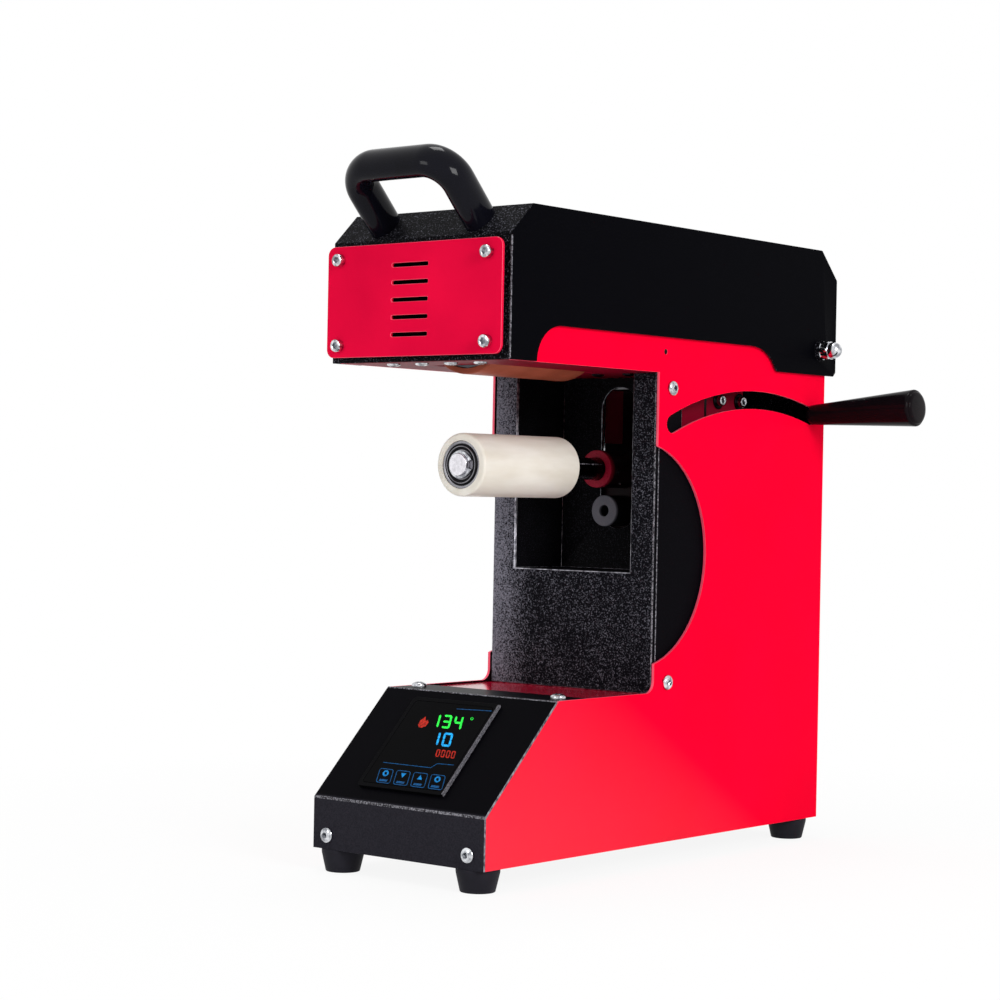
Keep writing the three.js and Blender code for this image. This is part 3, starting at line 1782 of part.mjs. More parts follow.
function addInlet() {
  const half = rear.inletWidth / 2 - fitGap;
  const tall = rear.inletOpening / 2 - fitGap;
  const centreX = inletX;
  const centreZ = inletHeight;
  const flange = rear.inletFlange;
  const faceEnd = standDepth + rear.inletWall;
  const plate = alongY(
    roundedRectangle(centreX - half - flange, centreZ - tall - flange, centreX + half + flange,
      centreZ + tall + flange, flange / 2),
    standDepth,
    faceEnd,
    4,
  );
  const body = alongY(
    rectangle(centreX - half, centreZ - tall, centreX + half, centreZ + tall),
    standDepth - rear.inletDepth,
    faceEnd,
  );
  const wall = rear.inletWall;
  const pocket = alongY(
    shapeOf([
      [centreX - half + wall, centreZ - tall + wall],
      [centreX + half - wall, centreZ - tall + wall],
      [centreX + half - wall, centreZ + tall - 2 * wall],
      [centreX + half - 2 * wall, centreZ + tall - wall],
      [centreX - half + 2 * wall, centreZ + tall - wall],
      [centreX - half + wall, centreZ + tall - 2 * wall],
    ]),
    standDepth - rear.inletDepth + wall,
    faceEnd + cutOverrun,
  );
  const pinBase = standDepth - rear.inletDepth + wall / 2;
  const pins = [-1, 0, 1].map((step) => {
    const x = centreX + step * rear.pinPitch;
    const z = centreZ + (step === 0 ? rear.pinHeight / 2 : -rear.pinHeight / 2);
    return alongY(
      rectangle(x - rear.pinWidth / 2, z - rear.pinHeight / 2, x + rear.pinWidth / 2,
        z + rear.pinHeight / 2),
      pinBase,
      pinBase + rear.pinLength,
    );
  });
  addPiece('power_inlet', joined(cut(joined(plate, body), pocket), ...pins), finishes.blackPlastic);
}

function rockerPivotDepth() {
  return standDepth - rear.rockerPivotSink;
}

function addSwitch() {
  const wide = rear.switchHalfWidth;
  const tall = rear.switchHalfHeight;
  const rim = rear.switchRim;
  const x = rear.switchX;
  const z = inletHeight;
  const flangeEnd = standDepth + rear.switchFlange;
  const flange = alongY(
    roundedRectangle(x - wide, z - tall, x + wide, z + tall, rim / 2),
    standDepth,
    flangeEnd,
    4,
  );
  const inset = rim / 2 + fitGap;
  const body = alongY(
    rectangle(x - wide + inset, z - tall + inset, x + wide - inset, z + tall - inset),
    standDepth - rear.switchDepth,
    flangeEnd,
  );
  const hollow = alongY(
    rectangle(x - wide + rim, z - tall + rim, x + wide - rim, z + tall - rim),
    standDepth - rear.switchDepth + rim,
    flangeEnd + cutOverrun,
  );
  addPiece('switch_body', cut(joined(flange, body), hollow), finishes.blackPlastic);
  const pivotY = rockerPivotDepth();
  const proud = rear.rockerPivotSink + rear.rockerProud;
  const rockerShape = shapeOf([
    [-rear.rockerBack, -rear.rockerHalf / 2],
    [0, -rear.rockerHalf],
    [proud, -rear.rockerHalf],
    [proud - rear.rockerDip, 0],
    [proud, rear.rockerHalf],
    [0, rear.rockerHalf],
    [-rear.rockerBack, rear.rockerHalf / 2],
  ]);
  const halfWide = wide - rim - fitGap;
  const rocker = alongX(rockerShape, x - halfWide, x + halfWide);
  rocker.rotateX(-rear.rockerTilt);
  rocker.translate(0, pivotY, z);
  addPiece('power_rocker', rocker, finishes.blackPlastic);
}

function addPowerBoard() {
  const boardFront = ridgeDepth + board.ridgeGap;
  const boardBottom = panTop + board.postHeight;
  const boardTop = boardBottom + board.thickness;
  const plate = alongZ(
    rectangle(-board.halfWidth, boardFront, board.halfWidth, boardFront + board.length),
    boardBottom,
    boardTop,
  );
  const posts = bothSides.flatMap((side) => [
    boardFront + board.edge,
    boardFront + board.length - board.edge,
  ].map((y) => rod('z', panTop, boardBottom + board.thickness / 2, board.postDiameter,
    [side * (board.halfWidth - board.edge), y, 0], 12)));
  const relay = alongZ(
    rectangle(
      board.halfWidth - board.edge - board.relayWidth,
      boardFront + board.edge,
      board.halfWidth - board.edge,
      boardFront + board.edge + board.relayLength,
    ),
    boardBottom,
    boardTop + board.relayHeight,
  );
  const supply = alongZ(
    rectangle(
      -board.halfWidth + board.edge,
      boardFront + board.edge,
      -board.halfWidth + board.edge + board.supplyWidth,
      boardFront + board.edge + board.supplyLength,
    ),
    boardBottom,
    boardTop + board.supplyHeight,
  );
  addPiece('power_board', joined(plate, ...posts, relay, supply), finishes.circuitGreen);
}

addFeet();
addBase();
addSidePanels();
addControlCover();
addController();
addColumn();
addGuide();
addCarriage();
addSpindle();
addRoller();
addLever();
addLeverBearings();
addHeadFloor();
addDrumBrackets();
addDrum();
addMotor();
addHeadStays();
addHood();
addVentPlate();
addHandle();
addHinge();
addRearCover();
addInlet();
addSwitch();
addPowerBoard();

// Set down with the middle of the footprint on the origin

press.updateMatrixWorld(true);
const box = new THREE.Box3().setFromObject(press, true);
const middle = box.getCenter(new THREE.Vector3());
press.position.set(-middle.x, -middle.y, -box.min.z);
press.updateMatrixWorld(true);

export default press;
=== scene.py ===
# Roller mug heat press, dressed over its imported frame.
# Metres in the frame; the helpers below take millimetres from the machine's own datum:
# x from the mid-plane, y from the front edge of the base, z from the bench.

import math

import bmesh
import bpy
import numpy as np
from mathutils import Matrix, Vector


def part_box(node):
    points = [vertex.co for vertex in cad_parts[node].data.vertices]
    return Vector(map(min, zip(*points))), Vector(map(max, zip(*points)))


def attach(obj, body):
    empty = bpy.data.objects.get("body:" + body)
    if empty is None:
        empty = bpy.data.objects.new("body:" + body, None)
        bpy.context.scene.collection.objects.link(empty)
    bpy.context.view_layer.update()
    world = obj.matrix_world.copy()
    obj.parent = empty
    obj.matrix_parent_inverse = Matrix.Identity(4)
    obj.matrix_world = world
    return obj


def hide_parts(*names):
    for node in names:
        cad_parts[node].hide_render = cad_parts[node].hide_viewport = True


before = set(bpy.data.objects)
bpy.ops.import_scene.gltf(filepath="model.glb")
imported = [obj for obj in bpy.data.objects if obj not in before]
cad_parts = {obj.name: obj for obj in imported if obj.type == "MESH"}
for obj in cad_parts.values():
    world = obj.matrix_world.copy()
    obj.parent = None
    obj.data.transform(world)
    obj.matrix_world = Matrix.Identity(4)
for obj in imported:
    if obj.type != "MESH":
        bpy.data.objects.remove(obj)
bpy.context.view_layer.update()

scene = bpy.context.scene

MM = 0.001
TAU = 2 * math.pi

# Sizes shared with the machine. Pairs are (depth, height) unless a comment says otherwise.

SIDE = 75.0
FRONT_FOLD = 50.0
RIDGE = (72.0, 120.3)
SLOPE = math.atan2(RIDGE[1] - FRONT_FOLD, RIDGE[0])
HEAD_Z = 342.5
REAR_Y = 393.0
HINGE = (381.0, 368.6)
PEEP_HOLE = (187.0, 357.0)

# What turns or sits on a level axle: height of the axle, depths of both ends, inner and outer radius.
SPINDLE_Z, SHAFT_RADIUS, SOCKET_RADIUS = 275.4, 8.0, 13.5
ROLLER_ENDS, ROLLER_RADII, SEAT_RADIUS, SEAT_DEPTH = (57.8, 162.0), (13.0, 21.5), 16.3, 9.9
BEARING_ENDS, OUTER_RACE, INNER_RACE = (58.4, 67.4), (15.95, 14.3), (10.1, 7.85)
BUSH_Z, BUSH_ENDS, BUSH_RADII = 245.4, (218.0, 241.0), (4.25, 11.25)
DRUM_Z, DRUM_ENDS, DRUM_RADII = 374.0, (62.0, 166.0), (33.5, 37.5)

# The lever: cross shaft, length to the stud, lean at rest, where the stud starts and how it rises outwards.
PIVOT = (303.0, 45.0)
LEVER_REACH = 283.0
REST_LEAN = math.radians(14.4)
STUD_ROOT = 63.0
STUD_RISE = math.radians(3.0)

# Folds seen from above as (across, depth), each with the heights that its edge runs between.
COLUMN_CORNER, COLUMN_RISE = (72.0, 180.5), (128.0, 342.0)
HOOD_CORNER, HOOD_RISE = (78.0, 13.0), (343.0, 422.0)

# Head stays: depths and height of the bar, its two faces, the depths that its seam runs between.
STAY_FRONT, STAY_REAR, STAY_FOOT = 231.5, 311.0, 296.0
STAY_INSIDE, STAY_OUTSIDE = 54.0, 56.0
STAY_SEAM = (261.6, 264.4)

# The machine's two hands: the way that each lies from the mid-plane, and its word.
HANDS = ((1, "right"), (-1, "left"))

# A cut just clear of a face, and a limit past every point of the machine.
HAIR = 0.02
BEYOND = 500.0

# The vent plate is centred on the mid-plane; the base pan starts behind the front edge.
PAN_SETBACK = 1.8
plate_low, plate_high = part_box("vent_plate")
pan_low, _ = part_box("base_pan")
DATUM = np.array([(plate_low[0] + plate_high[0]) / 2, pan_low[1] - PAN_SETBACK * MM, 0.0])


def placed(points):
    """Machine millimetres to frame metres: scaled by a thousandth and moved to the datum."""
    return np.asarray(points, dtype=float) * MM + DATUM


# Mesh making


def show(name, mesh, materials, body, smooth_angle):
    """Shows a mesh with its finishes, smooth but for edges over an angle, riding on a body."""
    for material in materials:
        mesh.materials.append(material)
    mesh.shade_smooth()
    mesh.set_sharp_from_angle(angle=math.radians(smooth_angle))
    piece = bpy.data.objects.new(name, mesh)
    scene.collection.objects.link(piece)
    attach(piece, body)
    return piece


def mesh_piece(name, points, faces, material, body, smooth_angle=35.0):
    """Makes a piece from machine points and faces, with its seams closed and its faces outwards."""
    mesh = bpy.data.meshes.new(name)
    mesh.from_pydata(placed(points).tolist(), [], [list(f) for f in faces])
    work = bmesh.new()
    work.from_mesh(mesh)
    bmesh.ops.remove_doubles(work, verts=work.verts, dist=1e-6)
    bmesh.ops.recalc_face_normals(work, faces=work.faces)
    work.to_mesh(mesh)
    work.free()
    return show(name, mesh, [material], body, smooth_angle)


def grid_faces(rows, columns, closed_columns=True):
    """Quads of a rows x columns grid of points, row by row, joined round from last column to first."""
    r = np.arange(rows - 1)[:, None]
    c = np.arange(columns if closed_columns else columns - 1)[None, :]
    after = (c + 1) % columns
    corners = [r * columns + c, r * columns + after, (r + 1) * columns + after, (r + 1) * columns + c]
    return np.stack(corners, axis=-1).reshape(-1, 4)


def hexagon(angles):
    """Distance from the centre to a side of a hexagon of corner radius 1: cos 30 over the cosine of the angle
    from the middle of the nearest flat."""
    return math.cos(math.pi / 6) / np.cos(np.mod(angles, math.pi / 3) - math.pi / 6)


def turned(profile, axis, centre, count=64):
    """Surface of revolution. A profile row is (along, radius, hex share): its point at angle t lies at
    radius * ((1 - share) + share * hexagon(t)) from the axis, moved along it in the axis's own direction."""
    rows = np.array([(tuple(r) + (0.0,))[:3] for r in profile], dtype=float)
    angle = np.linspace(0.0, TAU, count, endpoint=False)
    along = Vector(axis).normalized()
    side = Vector((0, 1, 0)) if abs(along.x) > 0.9 else Vector((1, 0, 0))
    up = along.cross(side)
    reach = rows[:, 1:2] * ((1 - rows[:, 2:3]) + rows[:, 2:3] * hexagon(angle))
    points = (
        np.array(centre)
        + rows[:, :1, None] * np.array(along)
        + (reach * np.cos(angle))[..., None] * np.array(side)
        + (reach * np.sin(angle))[..., None] * np.array(up)
    )
    return points.reshape(-1, 3), grid_faces(len(rows), count)


def joined(parts):
    """Stacks several (points, faces) pairs into one, with each part's face numbers moved on."""
    points, faces, start = [], [], 0
    for part_points, part_faces in parts:
        points.append(part_points)
        faces.extend((np.asarray(f) + start).tolist() for f in part_faces)
        start += len(part_points)
    return np.vstack(points), faces


def rounded(corners, radius=0.5, steps=3):
    """Profile with its inner corners eased: each one gives way to the quadratic curve between the two spots
    that lie radius away from it along its edges, or 0.45 of an edge where that is less."""
    corners = [np.array(c[:2], dtype=float) for c in corners]
    eased = [tuple(corners[0])]
    for before, here, after in zip(corners, corners[1:], corners[2:]):
        first, second = before - here, after - here
        near = min(radius, np.linalg.norm(first) * 0.45, np.linalg.norm(second) * 0.45)
        start = here + first / np.linalg.norm(first) * near
        end = here + second / np.linalg.norm(second) * near
        for t in np.linspace(0, 1, steps + 1):
            eased.append(tuple((1 - t) ** 2 * start + 2 * t * (1 - t) * here + t * t * end))
    eased.append(tuple(corners[-1]))
    return eased


def ring_profile(low, high, first, second, ease, steps):
    """Closed profile of a ring between two places along its axis: from the first radius to the second and
    back, with every corner eased but the one it starts at."""
    return rounded([(low, first), (low, second), (high, second), (high, first), (low, first)], ease, steps)


def prism(outline, low, high, place_at):
    """A flat outline raised from one height to another: the same ring of points twice, with walls between
    and a cap on each."""
    outline = np.asarray(outline, dtype=float)
    count = len(outline)
    points = np.vstack([place_at(outline, low), place_at(outline, high)])
    i = np.arange(count)
    walls = np.stack([i, (i + 1) % count, (i + 1) % count + count, i + count], axis=-1).tolist()
    return points, walls + [list(range(count))[::-1], list(range(count, 2 * count))]


def side_view(outline, x):
    """Points of an outline of (depth, height) at a place across the machine."""
    return np.stack([np.full(len(outline), x), outline[:, 0], outline[:, 1]], -1)


def top_view(outline, z):
    """Points of an outline of (across, depth) at a height."""
    return np.stack([outline[:, 0], outline[:, 1], np.full(len(outline), z)], -1)


def front_view(outline, y):
    """Points of an outline of (across, height) at a depth."""
    return np.stack([outline[:, 0], np.full(len(outline), y), outline[:, 1]], -1)


def dressed(
    node, body, materials, keep_low=(-BEYOND,) * 3, keep_high=(BEYOND,) * 3,
    edge=0.3, edge_slot=-1, slots=(0, 0, 0),
):
    """A merged copy of a CAD solid with its sheet edges eased. Points outside the kept box, such as plain
    screw heads, are cut away and the spots they leave are filled flat. The slots name the finish of the faces
    that look to the machine's right, to its left, and to its front, back, top or foot."""
    work = bmesh.new()
    work.from_mesh(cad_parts[node].data)
    bmesh.ops.remove_doubles(work, verts=work.verts, dist=2e-6)
    low, high = placed(keep_low), placed(keep_high)
    outside = [v for v in work.verts if any(v.co[k] < low[k] or v.co[k] > high[k] for k in range(3))]
    if outside:
        bmesh.ops.delete(work, geom=outside, context="VERTS")
        bmesh.ops.holes_fill(work, edges=[e for e in work.edges if e.is_boundary], sides=0)
    bmesh.ops.dissolve_limit(work, angle_limit=math.radians(1.0), verts=work.verts, edges=work.edges)
    bmesh.ops.recalc_face_normals(work, faces=work.faces)
    facing = 0.9
    for face in work.faces:
        right, left = face.normal.x > facing, face.normal.x < -facing
        face.material_index = slots[0] if right else slots[1] if left else slots[2]
    mesh = bpy.data.meshes.new(node + "_dressed")
    work.to_mesh(mesh)
    work.free()
    piece = show(node + "_dressed", mesh, materials, body, 30)
    ease = piece.modifiers.new("eased_edges", "BEVEL")
    ease.width = edge * MM
    ease.segments = 2
    ease.limit_method = "ANGLE"
    ease.angle_limit = math.radians(40)
    ease.use_clamp_overlap = True
    ease.material = edge_slot
    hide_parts(node)
    return piece


# Finishes

# Millimetres over which sprayed powder, a coated sheet and a moulding drift in tone, the size of orange peel,
# the width of the nylon's streaks and tool rings, a diode's uneven patch, the paper's tooth.
SPRAY_DRIFT, SHEET_DRIFT, MOULD_DRIFT = 30.0, 90.0, 24.0
ORANGE_PEEL = 2.2
STREAK, TOOL_RING = 12.0, 0.5
DIODE_PATCH = 1.6
PAPER_TOOTH = 3.0


def colour(code):
    """sRGB hex to the linear colour that shaders take: each channel through the standard transfer curve."""
    channels = [int(code[i : i + 2], 16) / 255 for i in (1, 3, 5)]
    return tuple(c / 12.92 if c <= 0.04045 else ((c + 0.055) / 1.055) ** 2.4 for c in channels) + (1.0,)


def add(tree, kind, sockets=None, stops=(), **settings):
    """Adds one node with its settings. A socket takes a value, another node's first output, or an output;
    stops are the (place, colour code) pairs of a colour ramp."""
    node = tree.nodes.new(kind)
    for name, value in settings.items():
        setattr(node, name, value)
    for name, value in (sockets or {}).items():
        source = value.outputs[0] if isinstance(value, bpy.types.Node) else value
        if isinstance(source, bpy.types.NodeSocket):
            tree.links.new(source, node.inputs[name])
        else:
            node.inputs[name].default_value = value
    for number, (place, code) in enumerate(stops):
        elements = node.color_ramp.elements
        stop = elements[number] if number < len(elements) else elements.new(place)
        stop.position, stop.color = place, colour(code)
    return node


def start_material(name):
    """An empty node tree with object coordinates at hand."""
    material = bpy.data.materials.new(name)
    material.use_nodes = True
    tree = material.node_tree
    tree.nodes.clear()
    return material, tree, add(tree, "ShaderNodeTexCoord").outputs["Object"]


def close_material(material, sockets):
    """Gives the material its shader and output."""
    tree = material.node_tree
    add(tree, "ShaderNodeOutputMaterial", {"Surface": add(tree, "ShaderNodeBsdfPrincipled", sockets)})
    return material


def close_coat(material, tone, marks, rough, depth_mm, specular=0.5, metallic=0.0):
    """Closes a material whose fine marks vary its gloss, between two roughnesses, and stand up by a depth."""
    tree = material.node_tree
    gloss = {"Value": marks, "To Min": rough[0], "To Max": rough[1]}
    sockets = {"Base Color": tone, "Metallic": metallic, "Specular IOR Level": specular}
    sockets["Roughness"] = add(tree, "ShaderNodeMapRange", gloss)
    sockets["Normal"] = add(tree, "ShaderNodeBump", {"Height": marks, "Distance": depth_mm * MM})
    return close_material(material, sockets)


def sand_coat(
    name, base, fleck, first, last, rough=0.5, specular=0.1, grit_mm=1.0, depth_mm=0.08, painted_left_light=0.0
):
    """Black polyester powder coat baked to a sand texture: pebbles about a millimetre across, black in the
    hollows, with tops that catch the light as grey flecks. First and last say how far up a pebble the grey
    begins and ends. The painted left light spreads the grey towards the machine's left: painted light from
    that side."""
    material, tree, where = start_material(name)
    grit = {"Vector": where, "Scale": 1 / (grit_mm * MM), "Detail": 3.0, "Roughness": 0.65}
    pebbles = add(tree, "ShaderNodeTexNoise", grit)
    # Flecks thin out and thicken again, as sprayed powder does.
    drift = add(tree, "ShaderNodeTexNoise", {"Vector": where, "Scale": 1 / (SPRAY_DRIFT * MM), "Detail": 3.0})
    limits = {"From Min": 0.3, "From Max": 0.7, "To Min": -0.016, "To Max": 0.016}
    lifted = add(tree, "ShaderNodeMapRange", {"Value": drift, **limits})
    level = add(tree, "ShaderNodeMath", {0: pebbles, 1: lifted}, operation="ADD")
    # Painted light: the grey flecks spread towards the machine's left, as if lit from that side.
    if painted_left_light:
        across = add(tree, "ShaderNodeSeparateXYZ", {"Vector": where}).outputs["X"]
        thin, thick = DATUM[0] - 72 * MM, DATUM[0] - 35 * MM
        limits = {"From Min": thin, "From Max": thick, "To Min": painted_left_light, "To Max": 0.0}
        painted_light_share = add(tree, "ShaderNodeMapRange", {"Value": across, **limits})
        level = add(tree, "ShaderNodeMath", {0: level, 1: painted_light_share}, operation="ADD")
    tone = add(tree, "ShaderNodeValToRGB", {"Fac": level}, [(first, base), (last, fleck)])
    return close_coat(material, tone, pebbles, (rough - 0.12, rough + 0.15), depth_mm, specular)


def gloss_coat(name, base, deep, rough, specular=0.02, painted_foot_sheen=0.0):
    """Gloss powder coat: an even colour that drifts a little over the sheet, with faint orange peel. A
    painted sheen can raise the specular towards the front of the foot: painted reflection, not a change of
    the coat."""
    material, tree, where = start_material(name)
    shine = specular
    if painted_foot_sheen:
        # The painted sheen is full at the front of the foot and gone some 190 mm up and back from it.
        spot = add(tree, "ShaderNodeSeparateXYZ", {"Vector": where})
        back = add(tree, "ShaderNodeMath", {0: spot.outputs["Y"], 1: 0.6}, operation="MULTIPLY")
        away = add(tree, "ShaderNodeMath", {0: spot.outputs["Z"], 1: back}, operation="ADD")
        first = 0.6 * DATUM[1] + 20 * MM
        limits = {"From Min": first, "From Max": first + 190 * MM}
        shares = {"To Min": specular + painted_foot_sheen, "To Max": specular}
        shine = add(tree, "ShaderNodeMapRange", {"Value": away, **limits, **shares})
    peel = add(tree, "ShaderNodeTexNoise", {"Vector": where, "Scale": 1 / (ORANGE_PEEL * MM), "Detail": 1.0})
    drift = add(tree, "ShaderNodeTexNoise", {"Vector": where, "Scale": 1 / (SHEET_DRIFT * MM), "Detail": 2.0})
    tone = add(tree, "ShaderNodeValToRGB", {"Fac": drift}, [(0.3, deep), (0.7, base)])
    return close_coat(material, tone, peel, (rough - 0.03, rough + 0.04), 0.012, shine)


def worked_metal(name, base, deep, rough, grain_mm=0.6, depth_mm=0.006, tone_mm=14.0):
    """Bare or plated metal: fine tool marks that vary the gloss, with a slight drift of tone."""
    material, tree, where = start_material(name)
    marks = add(tree, "ShaderNodeTexNoise", {"Vector": where, "Scale": 1 / (grain_mm * MM), "Detail": 3.0})
    drift = add(tree, "ShaderNodeTexNoise", {"Vector": where, "Scale": 1 / (tone_mm * MM), "Detail": 2.0})
    tone = add(tree, "ShaderNodeValToRGB", {"Fac": drift}, [(0.35, deep), (0.65, base)])
    return close_coat(material, tone, marks, (rough - 0.06, rough + 0.07), depth_mm, metallic=1.0)


def moulded(name, base, deep, rough, grain_mm=0.5, depth_mm=0.02, specular=0.3):
    """Moulded plastic or rubber: a fine skin grain, a little tone drift, a soft gloss."""
    material, tree, where = start_material(name)
    skin = add(tree, "ShaderNodeTexNoise", {"Vector": where, "Scale": 1 / (grain_mm * MM), "Detail": 2.0})
    drift = add(tree, "ShaderNodeTexNoise", {"Vector": where, "Scale": 1 / (MOULD_DRIFT * MM), "Detail": 2.0})
    tone = add(tree, "ShaderNodeValToRGB", {"Fac": drift}, [(0.3, deep), (0.7, base)])
    return close_coat(material, tone, skin, (rough - 0.05, rough + 0.06), depth_mm, specular)


def changing_coat(name, front, rear, first_y, last_y, rough, metallic=0.0, specular=0.2, marks_mm=0.8):
    """One finish, or one tone of painted light or shade, that gives way to another along the machine's depth,
    between
    two places in millimetres from its front: each is a pair of tones mixed by fine marks left by the tool or
    the spray."""
    material, tree, where = start_material(name)
    depth = add(tree, "ShaderNodeSeparateXYZ", {"Vector": where}).outputs["Y"]
    limits = {"From Min": first_y * MM + DATUM[1], "From Max": last_y * MM + DATUM[1]}
    share = add(tree, "ShaderNodeMapRange", {"Value": depth, **limits})
    marks = add(tree, "ShaderNodeTexNoise", {"Vector": where, "Scale": 1 / (marks_mm * MM), "Detail": 2.0})
    tones = [
        add(tree, "ShaderNodeValToRGB", {"Fac": marks}, [(0.3, pair[0]), (0.7, pair[1])]).outputs[0]
        for pair in (front, rear)
    ]
    mixed = add(tree, "ShaderNodeMix", {0: share, 6: tones[0], 7: tones[1]}, data_type="RGBA")
    shades = (rough - 0.05, rough + 0.06)
    return close_coat(material, mixed.outputs[2], marks, shades, 0.006, specular, metallic)


def turned_nylon(name, base, deep):
    """Cast nylon turned in a lathe: milky and slightly see-through, with soft streaks that run along the
    sleeve, over fine tool rings round it."""
    material, tree, where = start_material(name)
    drawn = add(tree, "ShaderNodeMapping", {"Vector": where, "Scale": (1.0, 0.22, 1.0)})
    streaks = add(tree, "ShaderNodeTexNoise", {"Vector": drawn, "Scale": 1 / (STREAK * MM), "Detail": 3.0})
    wave = {"Vector": where, "Scale": 0.5 / (TOOL_RING * MM) / math.pi, "Distortion": 1.0}
    rings = add(tree, "ShaderNodeTexWave", wave, bands_direction="Y")
    return close_material(
        material,
        {
            "Base Color": add(tree, "ShaderNodeValToRGB", {"Fac": streaks}, [(0.3, deep), (0.65, base)]),
            "Roughness": add(tree, "ShaderNodeMapRange", {"Value": streaks, "To Min": 0.36, "To Max": 0.46}),
            "Specular IOR Level": 0.3,
            "Subsurface Weight": 0.12,
            "Subsurface Radius": (0.003, 0.0026, 0.002),
            "Normal": add(tree, "ShaderNodeBump", {"Height": rings, "Distance": 0.006 * MM}),
        },
    )


def lit_ink(name, code, dim, strength):
    """Lit print on the display: light of the diodes behind the glass, a little uneven over each stroke."""
    material, tree, where = start_material(name)
    patches = {"Vector": where, "Scale": 1 / (DIODE_PATCH * MM), "Detail": 2.0}
    uneven = add(tree, "ShaderNodeTexNoise", patches)
    glow = add(tree, "ShaderNodeValToRGB", {"Fac": uneven}, [(0.35, dim), (0.6, code)])
    sockets = {"Base Color": glow, "Roughness": 0.5, "Specular IOR Level": 0.1}
    sockets |= {"Emission Color": glow, "Emission Strength": strength}
    return close_material(material, sockets)


# Polyester powder coat on sheet steel, sprayed and baked: red and glossy.
# The red coat has a painted sheen towards the front of the foot: painted reflection.
red_coat = gloss_coat("red_gloss_powder_coat", "#FB0030", "#EE002B", 0.34, 0.005, 0.34)
vent_coat = gloss_coat("red_sprayed_vent_coat", "#F00A3E", "#D60436", 0.3, 0.02)
# The deck's red is darker than the panels': painted shade under the hood.
shaded_deck_coat = gloss_coat("red_polished_deck_coat_painted_shade", "#CC1038", "#B60C30", 0.13, 0.4)
# Near-black red for the side panels' inner faces: painted shade inside the machine.
shaded_inner_red = gloss_coat("inside_red_painted_shade", "#1A060A", "#110407", 0.5)
# A darker red for the head floor and the head stays: painted shade under and inside the head.
shaded_red_coat = gloss_coat("red_powder_coat_painted_shade", "#8E0C28", "#740A20", 0.4)

# The same coat in black, sand textured on what looks forwards; the sides take a darker copy: painted shade.
# The column's front takes painted light towards the machine's left.
column_coat = sand_coat(
    "black_sand_texture_coat", "#08080D", "#7E7E8A", 0.53, 0.78,
    rough=0.55, specular=0.025, grit_mm=1.1, depth_mm=0.1, painted_left_light=0.22,
)
shaded_return_coat = sand_coat(
    "black_side_coat_painted_shade", "#060508", "#131217", 0.5, 0.75, specular=0.01, depth_mm=0.02
)
hood_coat = sand_coat(
    "black_fine_texture_coat", "#060609", "#7C7C88", 0.56, 0.76,
    rough=0.42, specular=0.02, grit_mm=1.2, depth_mm=0.05,
)
shaded_hood_side_coat = sand_coat(
    "black_hood_side_coat_painted_shade", "#040407", "#0E0E13", 0.56, 0.74, rough=0.42, specular=0.008, depth_mm=0.02
)
inner_coat = sand_coat("black_inner_coat", "#050507", "#2C2B31", 0.52, 0.72, specular=0.03, depth_mm=0.04)

# Laser-cut steel edge under thin paint: the paint draws back and the edge shows pale. The pale tone also
# stands in for the highlight that edges and folds catch: partly painted highlight.
red_edge_wear_and_highlight = gloss_coat("thin_paint_and_highlight_on_red_edge", "#FF6580", "#FA4868", 0.3, 0.3)
bare_edge_and_highlight = gloss_coat("bare_cut_edge_and_highlight", "#F2E2E6", "#D2BEC4", 0.4, 0.1)
black_edge_wear_and_highlight = worked_metal("thin_paint_and_highlight_on_black_edge", "#A9A8B0", "#4A4950", 0.36, tone_mm=3.0)

# Black coat with pale flecks for bright lines along folds and a shaft: painted highlight.
painted_highlight_coat = sand_coat(
    "black_coat_painted_highlight", "#1C1B20", "#A2A1AA", 0.42, 0.68, rough=0.4, specular=0.1, grit_mm=1.4, depth_mm=0.05
)

# Bright zinc plate, ground and turned steel, chemical black, cast and turned aluminium, bearing bronze.
zinc = worked_metal("zinc_plated_steel", "#E6E8EC", "#8C8E94", 0.14, tone_mm=3.0)
ground_steel = worked_metal("ground_steel", "#A5A4A9", "#75747A", 0.28)
plain_steel = worked_metal("machined_steel", "#8D8F94", "#6C6E74", 0.36)
black_oxide = worked_metal("black_oxide_steel", "#1B1A20", "#0F0E12", 0.32)
aluminium = worked_metal("turned_aluminium", "#A9ABB0", "#888A90", 0.38)
bronze = worked_metal("bearing_bronze", "#B08A50", "#8A6632", 0.36)

# Grey at the bush's turned face, black behind it.
bush_grey = changing_coat(
    "grey_faced_bush", ("#605F67", "#6A6971"), ("#0B0A0D", "#121115"), 218.8, 221.0, 0.5, specular=0.1
)
# Ground steel at the journal, chemical black behind it; the change lies where the shaft leaves the roller.
spindle_steel = changing_coat(
    "ground_and_blackened_spindle", ("#D8D6DC", "#F4F2F8"), ("#0C0B0F", "#17161A"), 163.0, 164.0, 0.26,
    metallic=1.0, specular=0.5, marks_mm=3.0,
)
# Red coat on the socket tube; the carriage block behind it is near-black: painted shade inside the machine.
carriage_coat_painted_shade = changing_coat(
    "red_carriage_coat_painted_shade", ("#8A1229", "#A81C38"), ("#12060A", "#1C080D"), 208.6, 213.0, 0.36,
    specular=0.1,
)
# The cover's front strip is lighter than the slope behind the fold: painted light on the forward face.
cover_coat_painted_light = changing_coat(
    "black_satin_cover_coat_painted_light", ("#232228", "#2E2D34"), ("#050508", "#09080C"), 0.4, 2.0, 0.36, specular=0.012
)

# Cast nylon, baked fluoropolymer on the drum, phenolic and nylon mouldings with a polished skin.
nylon = turned_nylon("turned_cast_nylon", "#E8E4DB", "#D8D2C5")
drum_coat = moulded("fluoropolymer_coat", "#A65540", "#8F4632", 0.4, grain_mm=1.2, specular=0.1)
gloss_black = moulded(
    "polished_black_phenolic", "#0E0E16", "#0A0A11", 0.1, grain_mm=4.0, depth_mm=0.004, specular=0.1
)
grip_black = moulded(
    "moulded_black_grip", "#120B0F", "#0B080B", 0.14, grain_mm=5.0, depth_mm=0.006, specular=0.05
)

